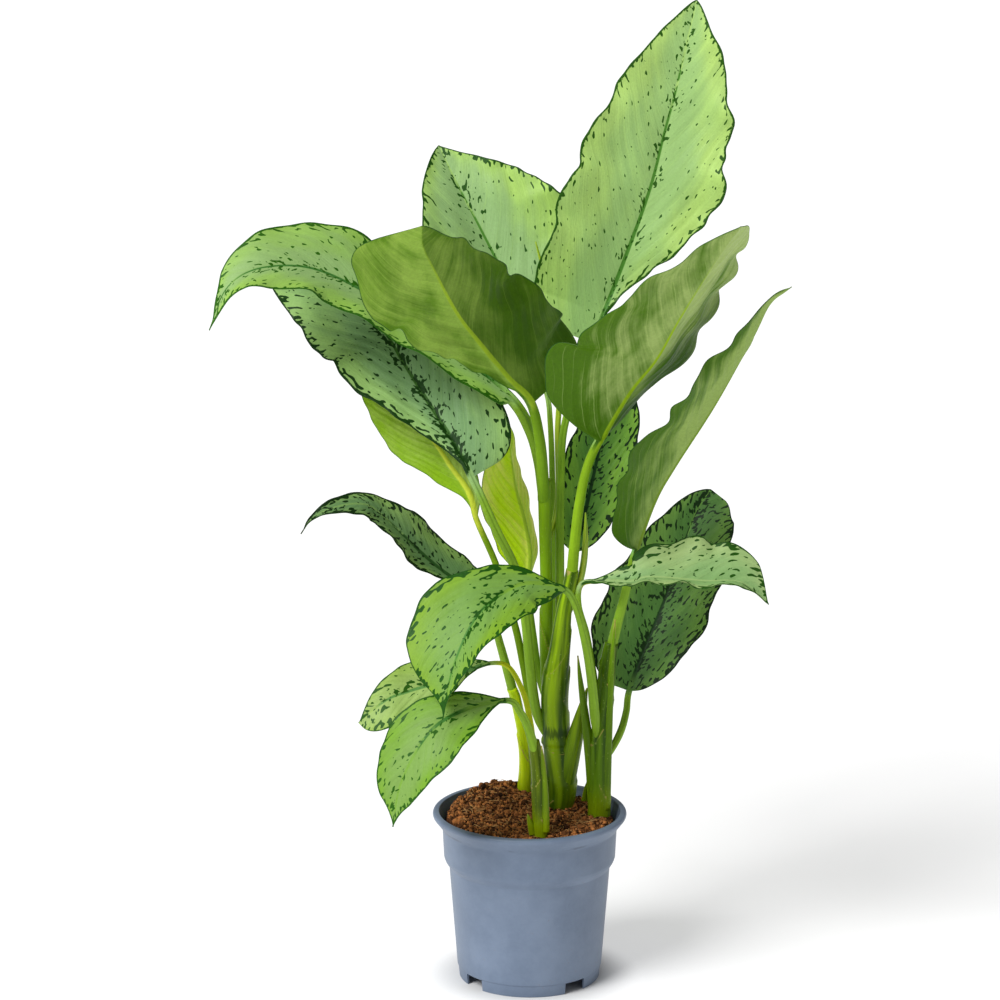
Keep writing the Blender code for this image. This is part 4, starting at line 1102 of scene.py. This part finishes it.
def pot_finish():
    """Blue-grey moulded plastic, a little mottled, scuffed and dusty, with painted shade inside and a painted shadow
    line under its lip.
    """
    skin = Finish("pot_plastic", Roughness=0.42, Specular_IOR_Level=0.35)
    place = skin.place()
    x, y, z = skin.split(place)
    mottle = skin.noise(place, scale=22.0, detail=4.0, roughness=0.65)
    speckle = skin.noise(place, scale=420.0)
    scuffs = skin.pattern(x, y, (60.0, 60.0), z * 900.0, detail=3.0)
    colour = skin.mix((0.9 * mottle + 0.1 * speckle).between(0.3, 0.7), (104, 119, 141), (119, 134, 156))
    colour = skin.mix(scuffs.between(0.68, 0.8) * 0.25, colour, (150, 162, 180))
    radius = (x * x + y * y).power(0.5)
    foot, mouth = POT_INSIDE_LEVELS
    wall = POT_INSIDE_RADIUS + (z - POT_INSIDE_FOOT) * POT_INSIDE_LEAN
    # Painted shade: the inner wall above the soil is made near black.
    inside = (radius - wall).between(0.0005, -0.0006) * (z > foot) * (z < mouth)
    colour = skin.mix(inside, colour, (24, 27, 33))
    # Painted shadow: a faint dark line round the outside just under the lip.
    inner, outer = UNDER_LIP_RADII
    low, high = UNDER_LIP_LEVELS
    painted_lip_shadow = (radius - inner).between(-0.0006, 0.0) * (radius < outer) * (z < high) * (z > low)
    colour = skin.mix(painted_lip_shadow * mottle.between(0.45, 0.6) * 0.5, colour, (40, 48, 62))
    dust = speckle.between(0.62, 0.72) * mottle.between(0.5, 0.62)
    skin.feed("Base Color", skin.mix(dust * 0.25, colour, (120, 92, 66)))
    skin.feed("Roughness", 0.34 + 0.2 * mottle)
    skin.feed_bump(speckle * 0.5 + scuffs * 0.5, 0.0003, 0.5)
    return skin


def soil_finish(name, light, dark):
    """Damp potting mix: brown, each crumb of its own shade, with painted shade in the hollows of its fine relief and a
    few pale or dark crumbs.
    """
    skin = Finish(name, Roughness=0.9, Specular_IOR_Level=0.2)
    place = skin.place()
    drawn, pick, _ = skin.attribute("drawn")
    crumbs = skin.noise(place, scale=330.0, detail=4.0, roughness=0.7)
    patches = skin.noise(place, scale=60.0, detail=3.0)
    # The noise that lifts the fine relief also lightens the colour, so the hollows carry painted shade.
    share = (0.55 * drawn + 0.5 * patches + 0.7 * (crumbs - 0.5)).between(0.15, 0.95)
    colour = skin.mix((pick > 0.93) * 0.7, skin.mix(share, dark, light), (186, 128, 78))
    skin.feed("Base Color", skin.mix((pick < 0.12) * 0.7, colour, (34, 18, 12)))
    skin.feed_bump(crumbs, 0.002, 0.9)
    return skin


# Leaves, stems and sheaths


def make_leaves():
    for number, (name, leaf) in enumerate(LEAVES.items()):
        piece = Piece(f"{name}_blade")
        piece.add_rings(*leaf_surface(leaf, number))
        piece.build(leaf_finish(f"{name}_skin", leaf, 10.0 + 7.3 * number), leaf.slot, name)


def make_rolled_leaves():
    """Tubes whose radius swells and shrinks a little along a line that winds round them."""
    skin = rolled_finish()

    def swell(reached, angle):
        return 0.18 * np.sin(angle + 0.035 * reached)

    for name, route in ROLLED_LEAVES.items():
        rings, reached, angle = tube_surface(route, ROLLED_ROWS, ROLLED_SIDES, swell)
        piece = Piece(f"{name}_spear")
        piece.add_rings(rings, {"place": together(reached, angle * 2.5, 0.0)})
        piece.build(skin, "leaf_young", name)


def make_stems():
    """Each shoot with its sheaths. The rear stalk belongs to the centre shoot and is of a paler tone."""
    for number, (name, stem) in enumerate(STEMS.items()):
        if name == "stem_rear":
            continue
        piece = Piece(f"{name}_shoot")
        piece.add_rings(*stem_surface(stem))
        if name == "stem_centre":
            piece.add_rings(*stem_surface(STEMS["stem_rear"], 1.0))
        for sheath in SHEATHS:
            if sheath.stem == name:
                piece.add_rings(*sheath_surface(sheath))
        piece.build(stem_finish(f"{name}_skin", stem, 3.0 + 5.0 * number), "stem", name)


# Pot


def soften(profile, radius, steps=4):
    """A profile whose corners are rounded by short curves that start at most this far from them."""
    profile = np.asarray(profile, dtype=float)
    rounded = [profile[0]]
    for before, corner, after in zip(profile, profile[1:], profile[2:]):
        to_before, to_after = before - corner, after - corner
        back = min(radius / np.linalg.norm(to_before), 0.45)
        ahead = min(radius / np.linalg.norm(to_after), 0.45)
        start, end = corner + to_before * back, corner + to_after * ahead
        for step in np.linspace(0.0, 1.0, steps):
            rounded.append((1 - step) ** 2 * start + 2 * step * (1 - step) * corner + step**2 * end)
    rounded.append(profile[-1])
    return np.array(rounded)


def pot_profile():
    """Radius and height of the pot's wall: down its outside, across under its floor, and up its inside."""
    band_top = POT_HEIGHT - RIM_DROP
    band_foot = BAND_RADIUS - BAND_TAPER
    ring = FOOT_RADIUS - FOOT_LEAN - WALL
    pad = PAD_RADIUS - PAD_WALL
    inner_lip = RIM_RADIUS - LIP_WIDTH
    outside = [
        (RIM_RADIUS - 2.2, POT_HEIGHT), (RIM_RADIUS - 0.7, POT_HEIGHT - 0.7), (RIM_RADIUS, POT_HEIGHT - 2.4),
        (RIM_RADIUS - 0.4, POT_HEIGHT - 4.2), (BAND_RADIUS + 0.6, band_top), (BAND_RADIUS, band_top - 1.4),
        (band_foot, BAND_FOOT_LEVEL), (band_foot - 1.2, BAND_FOOT_LEVEL - 3.4),
        (SHOULDER_RADIUS, SHOULDER_LEVEL), (TAPER_FOOT_RADIUS, FLOOR_LEVEL),
        (FOOT_RADIUS, FLOOR_LEVEL - 0.6), (FOOT_RADIUS - FOOT_LEAN, 0.0),
    ]
    under = [
        (ring, 0.0), (ring, FLOOR_LEVEL), (PAD_RADIUS + PAD_SLOPE, FLOOR_LEVEL), (PAD_RADIUS, 0.0), (0.0, 0.0),
    ]
    inside = [
        (0.0, WALL), (pad, WALL), (pad + PAD_SLOPE, FLOOR_LEVEL + WALL),
        (TAPER_FOOT_RADIUS - WALL, FLOOR_LEVEL + WALL), (SHOULDER_RADIUS - WALL, SHOULDER_LEVEL),
        (band_foot - WALL - 1.0, BAND_FOOT_LEVEL - 2.2), (band_foot - WALL, BAND_FOOT_LEVEL + WALL),
        (BAND_RADIUS - WALL, band_top - 1.4), (inner_lip - 0.4, POT_HEIGHT - 3.2), (inner_lip, POT_HEIGHT),
    ]
    middle_top = (RIM_RADIUS - LIP_MIDDLE, POT_HEIGHT)
    outer = soften([middle_top, *outside, *under], POT_CORNER_RADIUS)
    inner = soften([*inside, middle_top], POT_CORNER_RADIUS)
    return outer[:-1], inner[1:-1]


def make_pot():
    """The profile turned about the upright axis, with the notches and drain holes then cut through it."""
    outer, inner = pot_profile()
    radius, height = np.vstack([outer, inner]).T
    angle = full_turn(POT_SIDES)[:, None]
    rings = together(radius * np.sin(angle), -radius * np.cos(angle), height)
    points = np.vstack([rings.reshape(-1, 3), [(0.0, 0.0, 0.0), (0.0, 0.0, WALL)]])
    piece = Piece("pot_shell")
    piece.add(points, turned_faces(POT_SIDES, len(radius), len(outer) - 1))
    pot = piece.build(pot_finish(), "pot", "pot")
    cut_away(pot, notch_cutters() + drain_cutters())
    pot.data.set_sharp_from_angle(angle=math.radians(POT_SHARP_ANGLE))


def notch_cutters():
    """Blocks that take the notches out of the foot ring. Each one's faces point outwards."""
    cutters = []
    for degrees in NOTCH_ANGLES:
        turn = math.radians(degrees)
        outward = np.array([math.sin(turn), -math.cos(turn), 0.0])
        sideways = np.array([-math.cos(turn), -math.sin(turn), 0.0])
        middle = outward * (FOOT_RADIUS - FOOT_LEAN)
        corners = [
            middle + sideways * NOTCH_WIDTH / 2 * a + outward * NOTCH_DEPTH / 2 * b + np.array([0.0, 0.0, level])
            for level in (-NOTCH_HEIGHT, NOTCH_HEIGHT) for a, b in ((-1, -1), (1, -1), (1, 1), (-1, 1))
        ]
        faces = [(0, 3, 2, 1), (4, 5, 6, 7), (0, 1, 5, 4), (1, 2, 6, 5), (2, 3, 7, 6), (3, 0, 4, 7)]
        cutters.append((np.array(corners), faces))
    return cutters


def drain_cutters():
    """Upright rods that take the drain holes out of the floor."""
    cutters = []
    turn, count = full_turn(DRAIN_SIDES), DRAIN_SIDES
    sides = [(i, (i + 1) % count, (i + 1) % count + count, i + count) for i in range(count)]
    caps = [tuple(range(count - 1, -1, -1)), tuple(range(count, 2 * count))]
    for number in range(DRAIN_HOLES):
        angle = FULL_TURN * (number + 0.5) / DRAIN_HOLES
        x = DRAIN_CIRCLE * math.cos(angle) + DRAIN_RADIUS * np.cos(turn)
        y = DRAIN_CIRCLE * math.sin(angle) + DRAIN_RADIUS * np.sin(turn)
        low = together(x, y, FLOOR_LEVEL - 2.0)
        cutters.append((np.vstack([low, low + np.array([0.0, 0.0, WALL + 4.0])]), sides + caps))
    return cutters


def cut_away(thing, cutters):
    """Takes closed shapes out of a piece and keeps the result as its mesh."""
    finish = thing.data.materials[0]
    tools = []
    for number, (points, faces) in enumerate(cutters):
        mesh = bpy.data.meshes.new(f"cutter_{number}")
        mesh.from_pydata([tuple(point * MM) for point in points], [], faces)
        tool = bpy.data.objects.new(f"cutter_{number}", mesh)
        bpy.context.scene.collection.objects.link(tool)
        modifier = thing.modifiers.new(tool.name, "BOOLEAN")
        modifier.object = tool
        modifier.operation = "DIFFERENCE"
        modifier.solver = "EXACT"
        tools.append(tool)
    bpy.context.view_layer.update()
    result = bpy.data.meshes.new_from_object(thing.evaluated_get(bpy.context.evaluated_depsgraph_get()))
    thing.modifiers.clear()
    thing.data = result
    result.materials.clear()
    result.materials.append(finish)
    result.shade_smooth()
    for tool in tools:
        bpy.data.objects.remove(tool, do_unlink=True)


# Soil

SOIL_EDGE = BAND_RADIUS - BAND_TAPER - WALL - FIT_GAP


@dataclass
class Lumps:
    """One size of lump on the soil: how many are drawn, their radii, how finely each is cut, and its colours."""

    count: int
    small: float
    large: float
    halvings: int
    light: tuple
    dark: tuple


LUMPS = {
    "soil_crumbs": Lumps(7200, 0.4, 1.7, 0, (232, 152, 86), (62, 36, 18)),
    "soil_clods": Lumps(520, 1.2, 3.1, 1, (216, 138, 76), (50, 28, 14)),
}
LUMP_DENTS = 0.34
LUMP_STRETCH = (0.55, 1.2)
LUMP_LIFT = 0.3
FIBRES = 240
FIBRE_ROWS = 12
FIBRE_SIDES = 6
FIBRE_RADIUS = 0.34
FIBRE_REACH = 9.0
FIBRE_LIFT = 2.2


def soil_height(x, y):
    """Height of the soil above its edge: a low crown, a heap towards the back left and a bank at the left."""
    inward = held(1.0 - (x**2 + y**2) / SOIL_EDGE**2)
    heap_x, heap_y = SOIL_HEAP_PLACE
    heap = np.exp(-((x - heap_x) ** 2 + (y - heap_y) ** 2) / (2 * SOIL_HEAP_SPREAD**2))
    bank = held(inward * 24.0) * SOIL_BANK * held((-x - SOIL_BANK_START) / SOIL_BANK_WIDTH)
    return held(inward * 6.0) * (SOIL_CROWN + SOIL_HEAP * heap) + bank


def make_soil():
    """A turned body whose top is lumpy: the height of the soil with ripples of two sizes added."""
    angle = full_turn(SOIL_SPOKES)[:, None]
    radius = SOIL_EDGE * np.linspace(0.0, 1.0, SOIL_RINGS)[1:][None, :] ** 0.8
    x, y = radius * np.cos(angle), radius * np.sin(angle)
    coarse, small = [
        ripples(x / size, y / size, seed) * height for size, height, seed in zip(LUMP_SIZES, LUMP_HEIGHTS, (5, 6))
    ]
    fade = held((SOIL_EDGE - radius) / SOIL_RIM_FADE)
    top = SOIL_EDGE_LEVEL + soil_height(x, y) + (coarse + small) * fade
    wall_radius = np.array([SHOULDER_RADIUS - WALL - FIT_GAP - 1.0, TAPER_FOOT_RADIUS - WALL - 1.5])
    wall_level = np.array([SOIL_SHOULDER_LEVEL, SOIL_FOOT_LEVEL])
    wall = together(wall_radius * np.cos(angle), wall_radius * np.sin(angle), wall_level)
    rings = np.concatenate([together(x, y, top), wall], axis=1)
    middle = SOIL_EDGE_LEVEL + float(soil_height(0.0, 0.0))
    points = np.vstack([rings.reshape(-1, 3), [(0.0, 0.0, SOIL_FOOT_LEVEL), (0.0, 0.0, middle)]])
    count = rings.shape[1]
    piece = Piece("soil_bed")
    piece.add(points, turned_faces(SOIL_SPOKES, count, count - 1), {"drawn": np.full(points.shape, 0.3)})
    piece.build(soil_finish("soil_mix", (140, 86, 44), (44, 24, 12)), "soil", "soil")


def lump_shape(halvings):
    """Points and faces of a twenty-sided solid of radius 1, each face cut in four as often as asked."""
    golden = (1.0 + math.sqrt(5.0)) / 2.0
    points = [(-1, golden, 0), (1, golden, 0), (-1, -golden, 0), (1, -golden, 0)]
    points += [(0, -1, golden), (0, 1, golden), (0, -1, -golden), (0, 1, -golden)]
    points += [(golden, 0, -1), (golden, 0, 1), (-golden, 0, -1), (-golden, 0, 1)]
    points = list(unit(np.array(points, dtype=float)))
    near = np.linalg.norm(np.array(points)[:, None] - np.array(points)[None], axis=-1) < 1.1
    faces = []
    for a, b, c in combinations(range(12), 3):
        if near[a, b] and near[b, c] and near[a, c]:
            outward = np.dot(np.cross(points[b] - points[a], points[c] - points[a]), points[a]) > 0.0
            faces.append((a, b, c) if outward else (a, c, b))
    for _ in range(halvings):
        middles, finer = {}, []
        for a, b, c in faces:
            made = []
            for key in (tuple(sorted(pair)) for pair in ((a, b), (b, c), (c, a))):
                if key not in middles:
                    middles[key] = len(points)
                    points.append(unit(points[key[0]] + points[key[1]]))
                made.append(middles[key])
            ab, bc, ca = made
            finer += [(a, ab, ca), (b, bc, ab), (c, ca, bc), (ab, bc, ca)]
        faces = finer
    return np.array(points), np.array(faces)


def clear_of_stems(x, y, size):
    """Where a crumb of this size would miss every stem's foot."""
    free = np.ones(len(x), dtype=bool)
    for name, stem in STEMS.items():
        if name != "stem_rear":
            foot_x, foot_y, _, radius = stem.route[1]
            free &= np.hypot(x - foot_x, y - foot_y) > radius + 1.0 + size
    return free


def scatter_crumbs():
    """Lumps of two sizes: each is the twenty-sided solid with seeded dents, stretched, turned and set down."""
    draw = np.random.default_rng(11)
    for name, lumps in LUMPS.items():
        shape, sides = lump_shape(lumps.halvings)
        angle = draw.uniform(0.0, FULL_TURN, lumps.count)
        distance = (SOIL_EDGE - 1.0) * np.sqrt(draw.uniform(0.0, 1.0, lumps.count))
        x, y = distance * np.cos(angle), distance * np.sin(angle)
        size = lumps.small + (lumps.large - lumps.small) * draw.uniform(0.0, 1.0, lumps.count) ** 2
        keep = clear_of_stems(x, y, size) & (np.hypot(x, y) + size < SOIL_EDGE - 0.5)
        x, y, size = x[keep], y[keep], size[keep]
        count = len(x)
        dents = 1.0 + draw.uniform(-LUMP_DENTS, LUMP_DENTS, (count, len(shape), 1))
        points = shape[None] * dents * (size[:, None] * draw.uniform(*LUMP_STRETCH, (count, 3)))[:, None, :]
        turn = np.linalg.qr(draw.normal(size=(count, 3, 3)))[0]
        turn[:, :, 0] *= np.sign(np.linalg.det(turn))[:, None]
        points = np.einsum("nij,nkj->nki", turn, points)
        lift = ripples(x / LUMP_SIZES[0], y / LUMP_SIZES[0], 5) * LUMP_HEIGHTS[0] + LUMP_LIFT * size
        level = SOIL_EDGE_LEVEL + soil_height(x, y) + (lift + draw.uniform(0.0, 0.8, count))
        points = points + together(x, y, level)[:, None, :]
        faces = sides[None] + len(shape) * np.arange(count)[:, None, None]
        drawn = np.repeat(draw.uniform(0.0, 1.0, (count, 3)), len(shape), axis=0)
        piece = Piece(name)
        piece.add(points.reshape(-1, 3), [faces.reshape(-1, 3)], {"drawn": drawn})
        piece.build(soil_finish(f"{name}_mix", lumps.light, lumps.dark), "soil", "soil")


def scatter_fibres():
    """Short bent coir fibres: thin tapering tubes whose middle line is a seeded arc lying over the soil."""
    draw = np.random.default_rng(23)
    piece = Piece("soil_fibres")
    shares = np.linspace(-1.0, 1.0, 9)
    arch = 1.0 - shares**2
    radius = FIBRE_RADIUS * (1.0 - 0.6 * np.abs(shares))
    for _ in range(FIBRES):
        angle, spread, heading = draw.uniform(0.0, FULL_TURN, 3)
        distance = (SOIL_EDGE - FIBRE_REACH) * math.sqrt(spread / FULL_TURN)
        x, y = distance * math.cos(angle), distance * math.sin(angle)
        length, bend, tilt = draw.uniform(2.0, 6.0), draw.uniform(-1.5, 1.5), draw.uniform(-0.35, 0.35)
        if not clear_of_stems(np.array([x]), np.array([y]), length)[0]:
            continue
        line_x = x + length * shares * math.cos(heading) - bend * arch * math.sin(heading)
        line_y = y + length * shares * math.sin(heading) + bend * arch * math.cos(heading)
        level = SOIL_EDGE_LEVEL + soil_height(x, y) + FIBRE_LIFT + length * shares * tilt + 0.8 * arch
        rings, _, _ = tube_surface(together(line_x, line_y, level, radius), FIBRE_ROWS, FIBRE_SIDES)
        piece.add_rings(rings, {"drawn": np.tile(draw.uniform(0.2, 1.0, 3), (*rings.shape[:2], 1))})
    piece.build(soil_finish("fibre_husk", (228, 180, 118), (150, 98, 54)), "soil", "soil")


# Studio

FLOOR_REACH = 40.0
FLOOR_SHADE = 0.72
FLOOR_GLOW = 0.44
PAINTED_SHADOW_RADII = (0.055, 0.1)
SKY_STRENGTH = 0.27
SUN_STRENGTH = 2.95
SUN_WIDTH = 30.0
SUN_TURN = (46.0, 0.0, -48.0)
LENS = 120.5
SENSOR_WIDTH = 36.0
CAMERA_PLACE = (-0.026, -2.8, 1.068)
CAMERA_DIP = 12.85


def make_studio():
    """A pale floor that glows a little, with a painted shadow under the pot where it does not glow, an even sky and one
    broad sun from the upper left.
    """
    floor = Finish("studio_floor_paint", Roughness=0.9, Specular_IOR_Level=0.0, Emission_Strength=FLOOR_GLOW)
    floor.shader.inputs["Base Color"].default_value = (FLOOR_SHADE, FLOOR_SHADE, FLOOR_SHADE, 1.0)
    x, y, _ = floor.split(floor.place())
    # Painted shadow: the floor's glow fades out under the pot.
    glow_outside_painted_shadow = (x * x + y * y).power(0.5).between(*PAINTED_SHADOW_RADII)
    floor.feed("Emission Color", floor.mix(glow_outside_painted_shadow, (0, 0, 0), (255, 255, 255)))
    corners = [(FLOOR_REACH * a, FLOOR_REACH * b, 0.0) for a, b in ((-1, -1), (1, -1), (1, 1), (-1, 1))]
    mesh = bpy.data.meshes.new("studio_floor")
    mesh.from_pydata(corners, [], [(0, 1, 2, 3)])
    mesh.materials.append(floor.material)
    thing = bpy.data.objects.new("studio_floor", mesh)
    bpy.context.scene.collection.objects.link(thing)

    world = bpy.data.worlds.new("studio")
    world.use_nodes = True
    sky = world.node_tree.nodes["Background"].inputs
    sky["Color"].default_value = (1.0, 1.0, 1.0, 1.0)
    sky["Strength"].default_value = SKY_STRENGTH
    bpy.context.scene.world = world
    sun = bpy.data.lights.new("key", "SUN")
    sun.energy = SUN_STRENGTH
    sun.angle = math.radians(SUN_WIDTH)
    lamp = bpy.data.objects.new("key", sun)
    lamp.rotation_euler = [math.radians(turn) for turn in SUN_TURN]
    bpy.context.scene.collection.objects.link(lamp)


def make_camera():
    """The photograph's view: a long lens, a little above the leaves, looking down at the pot."""
    camera = bpy.data.cameras.new("camera")
    camera.lens = LENS
    camera.sensor_width = SENSOR_WIDTH
    camera.clip_end = 200.0
    holder = bpy.data.objects.new("camera", camera)
    holder.location = CAMERA_PLACE
    holder.rotation_euler = (math.radians(90.0 - CAMERA_DIP), 0.0, 0.0)
    bpy.context.scene.collection.objects.link(holder)
    bpy.context.scene.camera = holder


make_camera()
make_studio()
make_leaves()
make_rolled_leaves()
make_stems()
make_pot()
make_soil()
scatter_crumbs()
scatter_fibres()
bpy.context.scene.view_settings.view_transform = "Standard"
